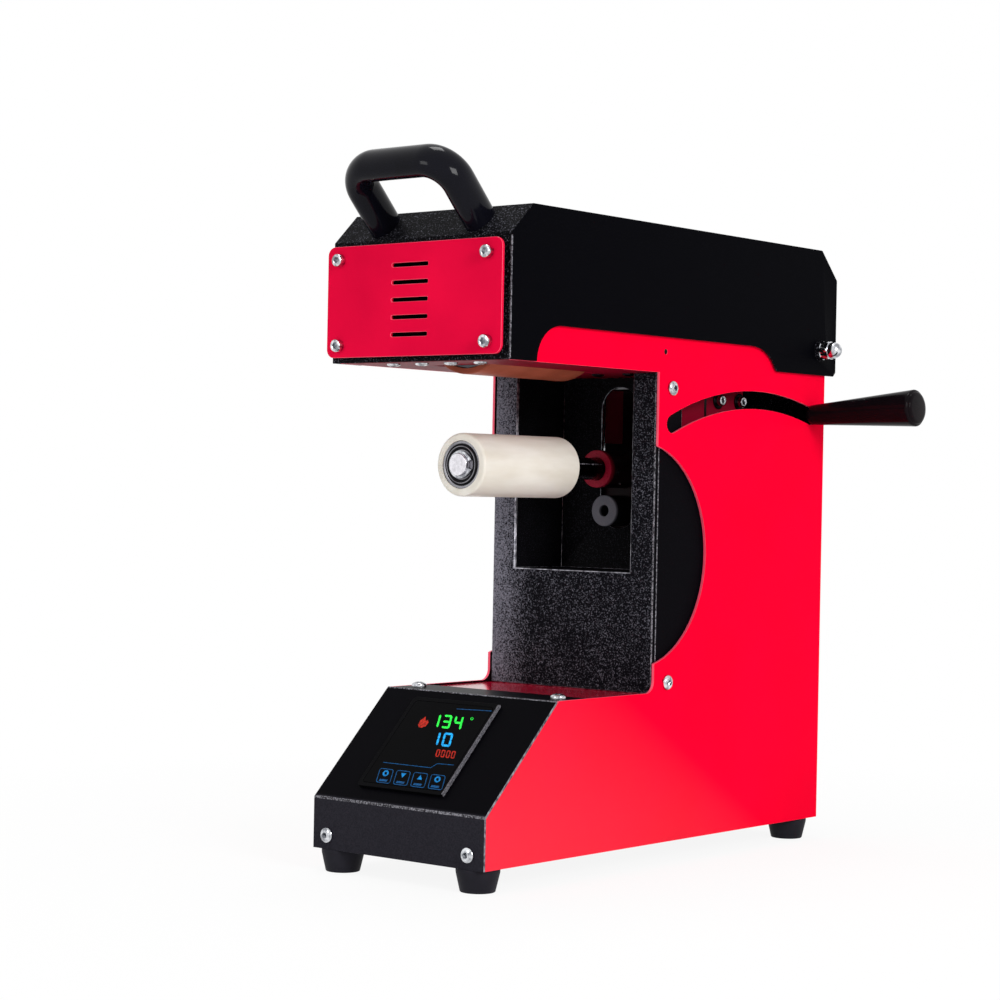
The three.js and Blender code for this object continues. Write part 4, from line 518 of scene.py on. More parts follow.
# Satin ABS, smoked acrylic, rubber, glass-fibre board.
satin_abs = moulded("satin_black_abs", "#17171A", "#0F0F12", 0.42, specular=0.1)
bezel_abs = moulded("satin_black_bezel", "#070709", "#050507", 0.4, grain_mm=0.9, specular=0.02)
bezel_side_light = sand_coat("bezel_side_painted_light", "#3A393F", "#86848B", 0.4, 0.65, grit_mm=0.8)
lens_black = moulded(
    "smoked_acrylic", "#050507", "#040405", 0.12, grain_mm=6.0, depth_mm=0.003, specular=0.02
)
foot_rubber = moulded("moulded_rubber", "#24232A", "#1B1A20", 0.55, grain_mm=0.8, specular=0.08)
board_green = moulded("fibreglass_board", "#1F5C38", "#184A2C", 0.45)
seal_black = moulded("nitrile_seal", "#101014", "#0A0A0D", 0.4, specular=0.08)

# Light of the display's diodes and of its printed lines.
green_ink = lit_ink("green_diode_print", "#2FEA48", "#1BA834", 0.85)
blue_ink = lit_ink("blue_diode_print", "#1E9EDC", "#146FAA", 0.8)
key_ink = lit_ink("printed_blue_mark", "#1478B8", "#0E588A", 0.7)
deep_blue_ink = lit_ink("printed_blue_line", "#0E4A7C", "#0A3458", 0.55)
red_ink = lit_ink("red_diode_print", "#A82418", "#70170E", 0.65)

# CAD solids that stay shown, with their finish
for material, names in (
    (inner_coat, "base_pan"),
    (plain_steel, "guide_bracket_lower guide_bracket_upper cam_plate lever_shaft hood_axle heater_rod"),
    (plain_steel, "drum_end_front drum_end_rear drum_bearing_front drum_bearing_rear roller_bearing_rear"),
    (zinc, "guide_rod_right guide_rod_left"),
    (black_oxide, "crank_arm lever_arm"),
    (aluminium, "lever_bearing_right lever_bearing_left drum_bracket_front drum_bracket_rear"),
    (aluminium, "motor_coupling gear_motor"),
    (bronze, "cam_roller"),
    (board_green, "power_board"),
    (satin_abs, "power_inlet switch_body power_rocker"),
):
    for name in names.split():
        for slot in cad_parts[name].material_slots:
            slot.material = material

# Sheet-metal body

# The side panels' inner faces take the painted shade; their edges take the edge coat.
panel = {"materials": [red_coat, red_edge_wear_and_highlight, shaded_inner_red], "edge": 0.45, "edge_slot": 1}
dressed("side_panel_right", "stand", keep_high=(SIDE + HAIR, BEYOND, BEYOND), slots=(0, 2, 1), **panel)
dressed("side_panel_left", "stand", keep_low=(-SIDE - HAIR, -BEYOND, -BEYOND), slots=(2, 0, 1), **panel)
dressed("deck_plate", "stand", [shaded_deck_coat])
kept = {"keep_low": (-BEYOND, -HAIR, -BEYOND), "keep_high": (BEYOND, BEYOND, RIDGE[1] + HAIR)}
dressed("control_cover", "stand", [cover_coat_painted_light, black_edge_wear_and_highlight], **kept, edge=0.9, edge_slot=1, slots=(1, 1, 0))
column_looks = [column_coat, black_edge_wear_and_highlight, shaded_return_coat]
dressed("column_front", "stand", column_looks, edge=0.7, edge_slot=1, slots=(2, 2, 0))
dressed("recess_box", "stand", [inner_coat, black_edge_wear_and_highlight], edge_slot=1)
dressed("rear_cover", "stand", [hood_coat])
dressed("head_floor", "stand", [shaded_red_coat], keep_low=(-BEYOND, -BEYOND, HEAD_Z - HAIR))
dressed("carriage_block", "lifting_carriage", [carriage_coat_painted_shade], edge=0.5)
dressed("hood_shell", "hood", [hood_coat, shaded_hood_side_coat], edge=0.45, slots=(1, 1, 0))
dressed("vent_plate", "hood", [vent_coat, red_edge_wear_and_highlight], edge=0.4, edge_slot=1)
dressed("controller_housing", "stand", [bezel_abs], edge=0.5)
dressed("controller_lens", "stand", [lens_black], edge=0.12)

# Painted highlights: pale lines along the folds of cover, column and hood, a hair proud of the sheet;
# drawn from each fold.
at_fold = [(0.1, -1.0), (-0.07, -1.0), (-0.07, 0.03), (0.62, 0.73), (0.74, 0.6), (0.1, -0.05)]
at_ridge = [(-0.69, -0.58), (-0.03, 0.08), (1.0, 0.07), (1.0, -0.1), (0.05, -0.1), (-0.6, -0.7)]
line_end = SIDE - 0.1
cover_lines = [
    prism(np.add(line, fold), -line_end, line_end, side_view)
    for line, fold in ((at_fold, (0.0, FRONT_FOLD)), (at_ridge, RIDGE))
]
mesh_piece("cover_fold_painted_highlights", *joined(cover_lines), painted_highlight_coat, "stand", 20)

at_column = [(-0.7, -0.1), (0.1, -0.1), (0.1, 0.8), (-0.7, 0.4)]
behind_column = [(-0.1, 3.9), (0.1, 3.9), (0.1, 4.9), (-0.1, 4.9)]
column_lines = [
    prism(np.add(line, COLUMN_CORNER), *COLUMN_RISE, top_view) for line in (at_column, behind_column)
]
mesh_piece("column_fold_painted_highlights", *joined(column_lines), painted_highlight_coat, "stand", 20)
at_hood = [(-0.8, -0.07), (0.07, -0.07), (0.07, 0.8), (-0.1, 0.8), (-0.8, 0.1)]
hood_line = prism(np.add(at_hood, HOOD_CORNER), *HOOD_RISE, top_view)
mesh_piece("hood_fold_painted_highlight", *hood_line, painted_highlight_coat, "hood", 20)

# Head stays: flat bars with two screws each; their front ends are bare cut edges, and a seam runs down each.
stay_start = (270.0, HEAD_Z)
stay_corners = [(STAY_FRONT, HEAD_Z), (STAY_FRONT, STAY_FOOT), (STAY_REAR, STAY_FOOT), (STAY_REAR, HEAD_Z)]
stay_outline = rounded([stay_start, *stay_corners, stay_start], 0.8, 2)[:-1]


def stay_strip(first, last):
    """Outline of a strip from one depth to another, nearly as high as a stay."""
    low, high = STAY_FOOT + 0.8, HEAD_Z - 0.3
    return [(first, low), (last, low), (last, high), (first, high)]


cut_edge = stay_strip(STAY_FRONT - 0.2, STAY_FRONT + 1.2)
seam_line = stay_strip(*STAY_SEAM)
proud = STAY_OUTSIDE + 0.1
for side, word in HANDS:
    sheet = prism(stay_outline, side * STAY_INSIDE, side * STAY_OUTSIDE, side_view)
    stay_piece = mesh_piece(f"flat_head_stay_{word}", *sheet, shaded_red_coat, "stand")
    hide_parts(f"head_stay_{word}")
    # The pale cut edge is partly bare steel and partly a painted highlight.
    lip = prism(cut_edge, side * (STAY_INSIDE + 0.1), side * proud, side_view)
    mesh_piece(f"stay_cut_edge_{word}", *lip, bare_edge_and_highlight, "stand")
    seam = prism(seam_line, side * (STAY_OUTSIDE - 0.1), side * proud, side_view)
    mesh_piece(f"stay_seam_{word}", *seam, black_oxide, "stand")

# A dark disc behind the peep hole, standing in for the shade inside the machine: painted shade.
shade_disc_rows = [(0, 0), (0, 1.9), (1.4, 1.9), (1.4, 3.2), (1.9, 3.2), (1.9, 0)]
shade_disc = turned(shade_disc_rows, (-1, 0, 0), (SIDE - 0.4, *PEEP_HOLE), 32)
mesh_piece("peep_hole_shade_disc", *shade_disc, inner_coat, "stand")

# Screws


def button_head(seat, axis, height=3.3, radius=5.25):
    """Button-head screw: a low dome over a cylindrical rim a third of its height, with a hexagonal socket in
    the crown. The dome's point at turn t lies at height rim + (height - rim) sin t and at radius * cos(t) to
    the power 0.8."""
    turn = np.linspace(0.0, 0.8, 7) * math.pi / 2
    rim = height / 3
    dome = [(rim + (height - rim) * math.sin(t), radius * math.cos(t) ** 0.8) for t in turn]
    crown = dome[-1][0]
    socket = radius * 0.56
    rows = [(0.0, 0.0), (0.0, radius)] + dome + [(crown + 0.02, socket), (crown - 0.12, socket * 0.92, 1.0)]
    rows += [(crown * 0.4, socket * 0.9, 1.0), (crown * 0.3, 0.0, 1.0)]
    return turned(rows, axis, seat, 48)


def cap_head(seat, axis, size=1.0):
    """Cap screw for a 5 mm thread, or one in proportion to it: a tall cylinder with an eased rim and a deep
    hexagonal socket."""
    rows = [(0.0, 0.0), (0.0, 4.25), (3.9, 4.25), (4.35, 3.95), (4.5, 3.5), (4.5, 2.7)]
    rows += [(4.3, 2.5, 1.0), (1.6, 2.45, 1.0), (1.2, 0.0, 1.0)]
    rows = [(along * size, reach * size) + tuple(share) for along, reach, *share in rows]
    return turned(rows, axis, seat, 48)


def washer(seat, axis, outer, inner, thick):
    """Flat ring with eased edges."""
    far, near = outer / 2, inner / 2
    start = (0, (far + near) / 2)
    corners = [start, (0, far), (thick, far), (thick, near), (0, near), start]
    return turned(rounded(corners, 0.2, 2), axis, seat, 40)


# Seats of the case screws on the machine's right, and the way they look; the left mirrors them.
CASE_SCREWS = [
    ((62.0, 0.0, 25.0), (0, -1, 0)),
    ((62.0, 90.0, RIDGE[1]), (0, 0, 1)),
    ((SIDE, 195.0, 332.0), (1, 0, 0)),
    ((SIDE, 195.0, 127.0), (1, 0, 0)),
    ((64.0, REAR_Y, 25.0), (0, 1, 0)),
    ((64.0, REAR_Y, 325.0), (0, 1, 0)),
]
case_heads = [
    button_head((side * seat[0], *seat[1:]), (side * way[0], *way[1:]))
    for side, _ in HANDS
    for seat, way in CASE_SCREWS
]
mesh_piece("case_screws", *joined(case_heads), zinc, "stand")

FLOOR_PITCH = 25.5
for word, depth, spread, plating in (("front", 31.0, 1.0, zinc), ("rear", 190.0, 1.08, black_oxide)):
    seats = [((n - 1.5) * FLOOR_PITCH * spread, depth, HEAD_Z) for n in range(4)]
    heads = [button_head(seat, (0, 0, -1), 1.8, 4.6) for seat in seats]
    mesh_piece(f"head_floor_{word}_screws", *joined(heads), plating, "stand")

STAY_SCREWS_Y, STAY_SCREWS_Z, STAY_WASHER = (278.8, 305.7), 327.0, 0.9
stay_heads, stay_washers = [], []
for side, depth in [(side, y) for side, _ in HANDS for y in STAY_SCREWS_Y]:
    way, face, top = (side, 0, 0), side * STAY_OUTSIDE, side * (STAY_OUTSIDE + STAY_WASHER)
    stay_heads.append(cap_head((top, depth, STAY_SCREWS_Z), way, 0.9))
    stay_washers.append(washer((face, depth, STAY_SCREWS_Z), way, 12.5, 6.0, STAY_WASHER))
mesh_piece("head_stay_screws", *joined(stay_heads), zinc, "stand")
mesh_piece("head_stay_washers", *joined(stay_washers), black_oxide, "stand")

# Vent plate screws: each holds the plate against a spacer.
VENT_FACE = 5.6
VENT_SCREWS = [(x, z) for z in (353.8, 411.1) for x in (-65.0, 65.0)]
spacer_rows = rounded([(0, 0), (0, 4.0), (5.1, 4.0), (5.1, 0)], 0.3, 2)
for number, (x, z) in enumerate(VENT_SCREWS, 1):
    spacer = turned(spacer_rows, (0, 1, 0), (x, VENT_FACE + 2.3, z), 32)
    head = cap_head((x, VENT_FACE - 0.2, z), (0, -1, 0))
    screw_piece = mesh_piece(f"vent_cap_screw_{number}", *joined([head, spacer]), zinc, "hood")
    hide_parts(f"vent_screw_{number}")

# Mug roller and its spindle

AXLE = (0.0, 0.0, SPINDLE_Z)
ALONG = (0, 1, 0)
(front, rear), (bore, skin) = ROLLER_ENDS, ROLLER_RADII
sleeve = [(front, SEAT_RADIUS), (front, skin), (rear, skin), (rear, SEAT_RADIUS)]
sleeve += [(rear - SEAT_DEPTH, SEAT_RADIUS), (rear - SEAT_DEPTH, bore)]
sleeve += [(front + SEAT_DEPTH, bore), (front + SEAT_DEPTH, SEAT_RADIUS), (front, SEAT_RADIUS)]
roller = turned(rounded(sleeve, 2.4, 6), ALONG, AXLE, 112)
roller_piece = mesh_piece("turned_mug_roller", *roller, nylon, "mug_roller_set", 50)
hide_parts("mug_roller")

races = [ring_profile(*BEARING_ENDS, *race, 0.35, 2) for race in (OUTER_RACE, INNER_RACE)]
rings = [turned(race, ALONG, AXLE, 80) for race in races]
front_bearing = mesh_piece("front_ball_bearing", *joined(rings), ground_steel, "mug_roller_set")
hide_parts("roller_bearing_front")
# Rubber seal that stands a little proud, with a shallow moulded groove at its middle and a bright lip in it.
seal = [(58.6, 14.3), (57.9, 13.9), (57.8, 13.2), (58.3, 12.7), (58.3, 12.2), (57.8, 11.8), (57.8, 10.8)]
seal += [(58.5, 10.1), (65.0, 10.1), (65.0, 14.3), (58.6, 14.3)]
mesh_piece("front_bearing_seal", *turned(seal, ALONG, AXLE, 80), seal_black, "mug_roller_set")
lip = [(57.75, 12.75), (57.62, 12.6), (57.62, 12.3), (57.75, 12.15), (58.6, 12.15), (58.6, 12.75)]
lip += lip[:1]
mesh_piece("bearing_seal_lip", *turned(lip, ALONG, AXLE, 80), ground_steel, "mug_roller_set")


def spindle_clip(seat, outer, inner, thick, gap=math.radians(18), swell=0.16, spread=0.22):
    """Outside retaining ring: a flat band round most of the shaft from one end angle to the other. Its outer
    edge lies at outer * (1 + swell * bell curve) from the axis, so that the two ends swell into eyes."""
    angle = np.linspace(gap, TAU - gap, 72)
    bells = np.exp(-(((angle - angle[0]) / spread) ** 2)) + np.exp(-(((angle[-1] - angle) / spread) ** 2))
    near, far = np.full_like(angle, inner), outer * (1.0 + swell * bells)
    rows = []
    for reach, depth in ((near, 0.0), (far, 0.0), (far, thick), (near, thick), (near, 0.0)):
        across, height = seat[0] + reach * np.cos(angle), seat[2] + reach * np.sin(angle)
        rows.append(np.stack([across, np.full_like(angle, seat[1] + depth), height], -1))
    faces = grid_faces(5, len(angle), closed_columns=False).tolist()
    ends = [[r * len(angle) + column for r in range(4)] for column in (0, len(angle) - 1)]
    return np.array(rows).reshape(-1, 3), faces + ends


clip = spindle_clip((0.0, 56.5, SPINDLE_Z), 9.3, 7.65, 1.1)
clip_piece = mesh_piece("open_spindle_clip", *clip, zinc, "lifting_carriage")
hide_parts("spindle_clip")
dressed("mug_spindle", "lifting_carriage", [spindle_steel], edge=0.5)

# A pale line along the blackened shaft, between two angles up from level: a painted highlight.
HIGHLIGHT_ENDS = (164.5, 205.0)
highlight_strip = []
for rise, t in ((-0.1, 0.36), (0.05, 0.36), (0.05, 0.45), (-0.1, 0.45)):
    reach = SHAFT_RADIUS + rise
    highlight_strip.append((reach * math.cos(t), SPINDLE_Z + reach * math.sin(t)))
mesh_piece("spindle_painted_highlight", *prism(highlight_strip, *HIGHLIGHT_ENDS, front_view), painted_highlight_coat, "lifting_carriage", 20)

bush = turned(ring_profile(*BUSH_ENDS, *BUSH_RADII, 0.7, 3), ALONG, (0, 0, BUSH_Z), 72)
bush_piece = mesh_piece("turned_locating_bush", *bush, bush_grey, "lifting_carriage")
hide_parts("locating_bush")

# Heated drum

drum = turned(ring_profile(*DRUM_ENDS, *DRUM_RADII, 1.0, 3), ALONG, (0, 0, DRUM_Z), 120)
drum_piece = mesh_piece("coated_drum", *drum, drum_coat, "heat_drum", 50)
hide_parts("drum_sleeve")

# Grub screws in the side of the socket tube, a hair proud of it, each at an angle up from level and a depth.
GRUB_SPOTS = ((0.5, 219.0), (-0.17, 216.5), (-0.9, 226.0))
grub_rows = [(-1.5, 0), (-1.5, 1.7), (0.3, 1.7), (0.3, 0.9), (-0.6, 0.8), (-0.6, 0)]
grubs = []
for t, depth in GRUB_SPOTS:
    seat = (SOCKET_RADIUS * math.cos(t), depth, SPINDLE_Z + SOCKET_RADIUS * math.sin(t))
    grubs.append(turned(grub_rows, (math.cos(t), 0, math.sin(t)), seat, 24))
mesh_piece("socket_grub_screws", *joined(grubs), zinc, "lifting_carriage")

# Hood handle, lever grip, nuts and feet


def swept_handle():
    """D handle: an oval section carried along two legs and a bar joined by quarter circles. In the handle's
    plane the path is (across, rise); the plane leans forward of upright, square to the hood's chamfer."""
    half, rise, bend, lean = 41.5, 49.9, 18.5, math.radians(44.3)
    thin, thick, count = 9.5, 12.7, 48
    base = np.array([0.0, 24.14, 434.62])
    root, knee = -1.5, 6.0
    turn = np.linspace(0, math.pi / 2, 16)
    left = np.stack([-half + bend - bend * np.cos(turn), rise - bend + bend * np.sin(turn)], -1)
    right = np.stack([half - bend + bend * np.sin(turn), rise - bend + bend * np.cos(turn)], -1)
    path = np.vstack([[(-half, root)], [(-half, knee)], left, right, [(half, knee)], [(half, root)]])
    heading = np.gradient(path, axis=0)
    heading[0], heading[1], heading[-1], heading[-2] = (0, 1), (0, 1), (0, -1), (0, -1)
    heading /= np.linalg.norm(heading, axis=1)[:, None]
    outward = np.stack([-heading[:, 1], heading[:, 0]], -1)
    around = np.linspace(0, TAU, count, endpoint=False)
    up = np.array([0.0, -math.sin(lean), math.cos(lean)])
    through = np.array([0.0, math.cos(lean), math.sin(lean)])
    across = np.array([1.0, 0.0, 0.0])
    centre = base + path[:, :1] * across + path[:, 1:] * up
    sideways = outward[:, :1] * across + outward[:, 1:] * up
    points = centre[:, None] + thin * np.cos(around)[:, None] * sideways[:, None]
    points = points + thick * np.sin(around)[:, None] * through
    faces = grid_faces(len(path), count).tolist()
    last = (len(path) - 1) * count
    return points.reshape(-1, 3), faces + [list(range(count))[::-1], list(range(last, last + count))]


handle_piece = mesh_piece("polished_hood_handle", *swept_handle(), gloss_black, "hood", 60)
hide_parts("hood_handle")

# The grip sits on the rising stud; it widens evenly from its neck by a flare, then has a domed cap.
GRIP_START, GRIP_NECK, GRIP_FLARE, GRIP_TAPER = 13.5, 7.35, 6.15, 88.0
grip_way = (math.cos(STUD_RISE), 0.0, math.sin(STUD_RISE))
grip_spot = (
    STUD_ROOT + GRIP_START * grip_way[0],
    PIVOT[0] + LEVER_REACH * math.sin(REST_LEAN),
    PIVOT[1] + LEVER_REACH * math.cos(REST_LEAN) + GRIP_START * grip_way[2],
)
grip_rows = [(0.0, 5.2), (0.0, 6.9), (0.6, 7.3)]
grip_rows += [(along, GRIP_NECK + GRIP_FLARE * (along / GRIP_TAPER)) for along in np.linspace(3.0, 87.0, 12)]
grip_rows += [(88.6, 13.5), (89.3, 13.2), (89.7, 12.5), (89.75, 12.0), (90.6, 11.8), (91.2, 11.0)]
grip_rows += [(91.5, 9.0), (91.5, 0.0)]
grip = turned(grip_rows, grip_way, grip_spot, 72)
grip_piece = mesh_piece("moulded_lever_grip", *grip, grip_black, "lever_set", 40)
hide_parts("lever_grip")

# Acorn nuts at both ends of the hood's axle: a hexagon with a half ball on it.
NUT_FACE, DOME_START, DOME_RADIUS = 81.3, 8.9, 6.1
nut_rows = [(0.0, 4.3), (0.0, 7.0), (0.5, 7.5, 1.0), (5.9, 7.5, 1.0), (6.5, 6.7), (6.7, DOME_RADIUS)]
quarter_turn = np.linspace(0.0, math.pi / 2, 9)
nut_rows += [(DOME_START + DOME_RADIUS * math.sin(t), DOME_RADIUS * math.cos(t)) for t in quarter_turn]
for side, word in HANDS:
    nut = turned(nut_rows, (side, 0, 0), (side * NUT_FACE, *HINGE), 72)
    nut_piece = mesh_piece(f"plated_acorn_nut_{word}", *nut, zinc, "stand", 38)
    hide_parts(f"acorn_nut_{word}")

FOOT_X, FOOT_DEPTHS = 59.5, (("front", 13), ("rear", 376))
foot_rows = rounded([(0, 0), (0, 11.5), (13.0, 14.5), (15.5, 14.5), (15.5, 0)], 0.8, 3)
for end, depth in FOOT_DEPTHS:
    for side, word in HANDS:
        foot = turned(foot_rows, (0, 0, 1), (side * FOOT_X, depth, 0.0), 56)
        foot_piece = mesh_piece(f"rubber_foot_{end}_{word}", *foot, foot_rubber, "stand", 40)
        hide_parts(f"foot_{end}_{word}")

# Lit display and key icons, raised a hair above the lens. Places are (across, up the slope from the fold).

LENS_TOP = 2.3
INK_LOW, INK_HIGH = LENS_TOP - 0.02, LENS_TOP + 0.06
INK_LEAN = -0.35


def on_slope(outline, height):
    """Points of an outline of (across, up the slope) at a height above the control face, turned by the
    slope's angle about the fold."""
    x, s = outline[:, 0], outline[:, 1]
    y = s * math.cos(SLOPE) - height * math.sin(SLOPE)
    z = FRONT_FOLD + s * math.sin(SLOPE) + height * math.cos(SLOPE)
    return np.stack([x, y, z], -1)


def print_piece(name, outlines, material):
    """Joins flat outlines on the lens into one thin print."""
    parts = [prism(outline, INK_LOW, INK_HIGH, on_slope) for outline in outlines]
    return mesh_piece(name, *joined(parts), material, "stand", 30)


# The segments that each numeral lights, lettered clockwise from the top, the middle one last.
LIT = {"0": "abcdef", "1": "bc", "3": "abcdg", "4": "bcfg"}


def numerals(text, x0, x1, s0, s1, stroke):
    """Seven-segment numerals that fill a box: each lit segment is a six-sided bar, and each point moves
    across by the lean times its height over the box's middle. A numeral takes 0.74 of its cell and starts at
    0.13 of it; bars stop 0.75 of a stroke short of a corner and 0.35 of one short of the middle."""
    cell = (x1 - x0) / len(text)
    width, height, half = cell * 0.74, s1 - s0, stroke / 2
    corner_gap, middle_gap = stroke * 0.75, stroke * 0.35
    level = {"a": height - half, "g": height / 2, "d": half}
    upright = {"f": (half, 1), "b": (width - half, 1), "e": (half, 0), "c": (width - half, 0)}
    bars = []
    for place, digit in enumerate(text):
        for segment in LIT[digit]:
            if segment in level:
                y = level[segment]
                near, far = corner_gap, width - corner_gap
                bar = [(near - half, y), (near, y + half), (far, y + half)]
                bar += [(far + half, y), (far, y - half), (near, y - half)]
            else:
                x, top = upright[segment]
                low = height / 2 * top + (middle_gap if top else corner_gap)
                high = height / 2 * (top + 1) - (corner_gap if top else middle_gap)
                bar = [(x, low - half), (x + half, low), (x + half, high)]
                bar += [(x, high + half), (x - half, high), (x - half, low)]
            bar = np.array(bar)
            bar[:, 0] += x0 + place * cell + cell * 0.13 + (bar[:, 1] - height / 2) * INK_LEAN
            bar[:, 1] += s0
            bars.append(bar)
    return bars


def stroke_line(points, width):
    """A thin line drawn as one long bar per stretch between points."""
    bars = []
    ends = [np.array(point, dtype=float) for point in points]
    for a, b in zip(ends, ends[1:]):
        along = (b - a) / np.linalg.norm(b - a)
        side = np.array([-along[1], along[0]]) * width / 2
        bars.append(np.array([a - side, b - side, b + side, a + side]))
    return bars


def round_box(x, s, width, height, radius, line):
    """Outline of a leaning rounded box, drawn as short bars along its edge."""
    corner = np.linspace(0, math.pi / 2, 4)
    ring = []
    for quarter, (cx, cs) in enumerate(((1, 1), (-1, 1), (-1, -1), (1, -1))):
        for t in corner + quarter * math.pi / 2:
            rise = cs * (height / 2 - radius) + radius * math.sin(t)
            ring.append((x + cx * (width / 2 - radius) + radius * math.cos(t) + rise * INK_LEAN, s + rise))
    return stroke_line(ring + ring[:1], line)


# The bezel's right wall and the rim above it in grey: painted light on the side facing the machine's right.
wall_parts = [
    prism([(33.0, 12.3), (33.12, 12.3), (33.12, 91.7), (33.0, 91.7)], 0.4, 2.2, on_slope),
    prism([(31.7, 12.6), (33.0, 12.6), (33.0, 91.4), (31.7, 91.4)], INK_LOW, INK_HIGH, on_slope),
]
mesh_piece("bezel_side_painted_light_strips", *joined(wall_parts), bezel_side_light, "stand", 30)

print_piece("display_temperature", numerals("134", -16.7, 13.3, 67.0, 78.7, 1.7), green_ink)
print_piece("display_degree_mark", round_box(17.6, 77.4, 2.0, 2.0, 0.95, 0.5), green_ink)
print_piece("display_time", numerals("10", -8.0, 13.7, 51.8, 63.6, 1.8), blue_ink)
print_piece("display_counter", numerals("0000", 5.6, 23.3, 42.6, 48.9, 0.9), red_ink)
flame = [(-19.6, 65.6), (-17.0, 67.2), (-16.6, 70.8), (-18.8, 72.8), (-20.0, 71.6), (-22.2, 75.4)]
flame += [(-24.6, 71.8), (-24.2, 67.8), (-22.2, 65.8)]
print_piece("display_heat_mark", [flame], red_ink)
rules = stroke_line([(-32.7, 33.0), (9.5, 33.0), (12.8, 37.0), (26.8, 37.4)], 0.5)
rules += stroke_line([(-0.3, 84.6), (29.6, 85.6)], 0.5)
print_piece("display_rules", rules, deep_blue_ink)

# Four keys in a row: a ring on the outer two, arrows down and up on the inner two, a short bar under each.
KEYS_X = (-23.9, -8.6, 6.6, 21.9)
KEY_RINGS_X = (-24.6, 21.2)
keys, marks = [], []
for x in KEYS_X:
    keys += round_box(x, 22.0, 12.0, 11.6, 1.6, 0.55)
    keys += stroke_line([(x - 2.4, 18.2), (x + 4.4, 18.2)], 1.7)
for x in KEY_RINGS_X:
    marks += round_box(x, 24.2, 3.9, 3.9, 1.9, 1.2)
marks.append([(-11.6, 26.0), (-7.4, 26.0), (-8.6, 22.0)])
marks.append([(4.4, 22.4), (8.6, 22.4), (5.4, 26.2)])
print_piece("key_outlines", keys, deep_blue_ink)
print_piece("key_marks", marks, key_ink)

# Studio: pale floor and world, soft lamps, camera as measured from the photograph


def white_to_rays(tree, shader, share):
    """Mixes a shader with plain white by a share, for rays from the lens and through glass or off a gloss."""
    path = add(tree, "ShaderNodeLightPath")
    rays = {0: path.outputs["Is Camera Ray"], 1: path.outputs["Is Glossy Ray"]}
    seen = add(tree, "ShaderNodeMath", rays, operation="MAXIMUM")
    seen = add(tree, "ShaderNodeMath", {0: seen, 1: path.outputs["Is Transmission Ray"]}, operation="MAXIMUM")
    weight = add(tree, "ShaderNodeMath", {0: seen, 1: share}, operation="MULTIPLY")
    kind = "ShaderNodeBackground" if shader.bl_idname == "ShaderNodeBackground" else "ShaderNodeEmission"
    white = add(tree, kind, {"Color": colour("#FFFFFF"), "Strength": 1.0})
    return add(tree, "ShaderNodeMixShader", {0: weight, 1: shader, 2: white})


paper, paper_tree, paper_where = start_material("studio_paper")
tooth = add(paper_tree, "ShaderNodeTexNoise", {"Vector": paper_where, "Scale": 1 / (PAPER_TOOTH * MM)})
sheet_white = add(paper_tree, "ShaderNodeValToRGB", {"Fac": tooth}, [(0.0, "#F4F4F4"), (1.0, "#FFFFFF")])
matt_sockets = {"Base Color": sheet_white, "Roughness": 0.9, "Specular IOR Level": 0.0}
matt = add(paper_tree, "ShaderNodeBsdfPrincipled", matt_sockets)
# Nine tenths white at the machine's feet, where its shadow shows, and all white from 0.7 m away.
distance = add(paper_tree, "ShaderNodeVectorMath", {0: paper_where}, operation="LENGTH").outputs["Value"]
fade = {"From Min": 0.2, "From Max": 0.7, "To Min": 0.9, "To Max": 1.0}
plain = add(paper_tree, "ShaderNodeMapRange", {"Value": distance, **fade})
add(paper_tree, "ShaderNodeOutputMaterial", {"Surface": white_to_rays(paper_tree, matt, plain)})

FLOOR_REACH = 6.0
floor_mesh = bpy.data.meshes.new("studio_floor")
floor_corners = [(x * FLOOR_REACH, y * FLOOR_REACH, 0) for x, y in ((-1, -1), (1, -1), (1, 1), (-1, 1))]
floor_mesh.from_pydata(floor_corners, [], [(0, 1, 2, 3)])
floor_mesh.materials.append(paper)
floor = bpy.data.objects.new("studio_floor", floor_mesh)
scene.collection.objects.link(floor)

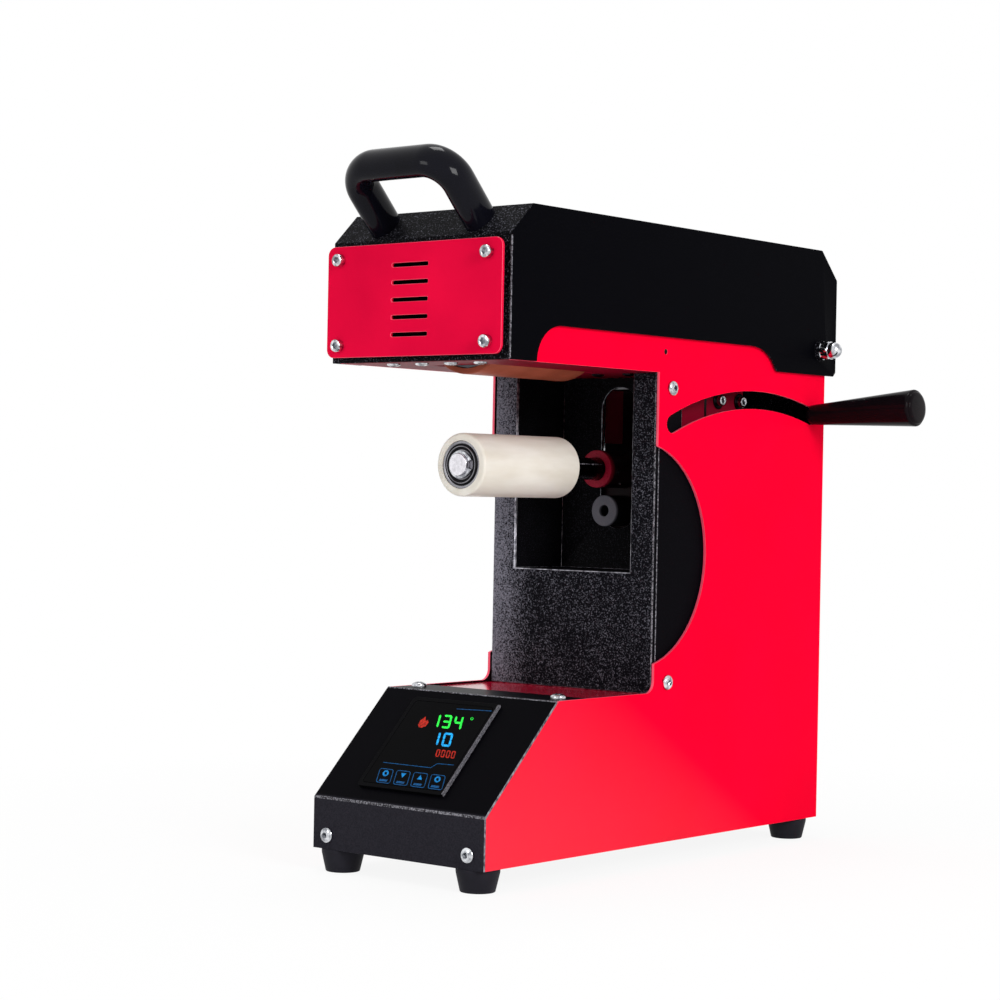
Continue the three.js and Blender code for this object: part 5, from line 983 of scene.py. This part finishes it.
world = bpy.data.worlds.new("studio_world")
scene.world = world
world.use_nodes = True
world.node_tree.nodes.clear()
ambient = add(world.node_tree, "ShaderNodeBackground", {"Color": colour("#FFFFFF"), "Strength": 0.5})
add(world.node_tree, "ShaderNodeOutputWorld", {"Surface": white_to_rays(world.node_tree, ambient, 1.0)})


def soft_lamp(name, place, target, size, watts):
    """Square area lamp that looks from its place to its target."""
    lamp = bpy.data.lights.new(name, "AREA")
    lamp.shape = "SQUARE"
    lamp.size = size
    lamp.energy = watts
    holder = bpy.data.objects.new(name, lamp)
    holder.location = place
    holder.rotation_euler = (Vector(target) - Vector(place)).to_track_quat("-Z", "Y").to_euler()
    scene.collection.objects.link(holder)


soft_lamp("right_soft_box", (1.9, -0.6, 1.0), (0, 0, 0.22), 0.7, 26.0)
soft_lamp("front_soft_box", (-0.4, -2.0, 0.9), (0, 0, 0.22), 0.6, 7.0)
soft_lamp("top_soft_box", (-0.3, 0.2, 2.1), (0, 0, 0.3), 0.6, 9.0)

# Camera: where it stands from the datum, how it looks, and its focal length in pixels of a square picture.
CAMERA_SPOT = (1066.3, -1186.7, 257.5)
AZIMUTH, PITCH, ROLL = math.radians(39.65), math.radians(-0.19), math.radians(1.09)
FOCAL_PIXELS, PICTURE_PIXELS, SENSOR = 2434.0, 1000.0, 36.0
forward = Vector((-math.sin(AZIMUTH) * math.cos(PITCH), math.cos(AZIMUTH) * math.cos(PITCH), math.sin(PITCH)))
level = Vector((math.cos(AZIMUTH), math.sin(AZIMUTH), 0.0))
above = level.cross(forward)
tilted_right = level * math.cos(ROLL) + above * math.sin(ROLL)
tilted_up = above * math.cos(ROLL) - level * math.sin(ROLL)
lens = bpy.data.cameras.new("photo_camera")
lens.sensor_width = SENSOR
lens.lens = FOCAL_PIXELS * SENSOR / PICTURE_PIXELS
lens.clip_start, lens.clip_end = 0.01, 50.0
camera = bpy.data.objects.new("photo_camera", lens)
turn = Matrix([(tilted_right[k], tilted_up[k], -forward[k]) for k in range(3)])
camera.matrix_world = Matrix.Translation(Vector(placed(CAMERA_SPOT))) @ turn.to_4x4()
scene.collection.objects.link(camera)
scene.camera = camera
scene.view_settings.view_transform = "Standard"
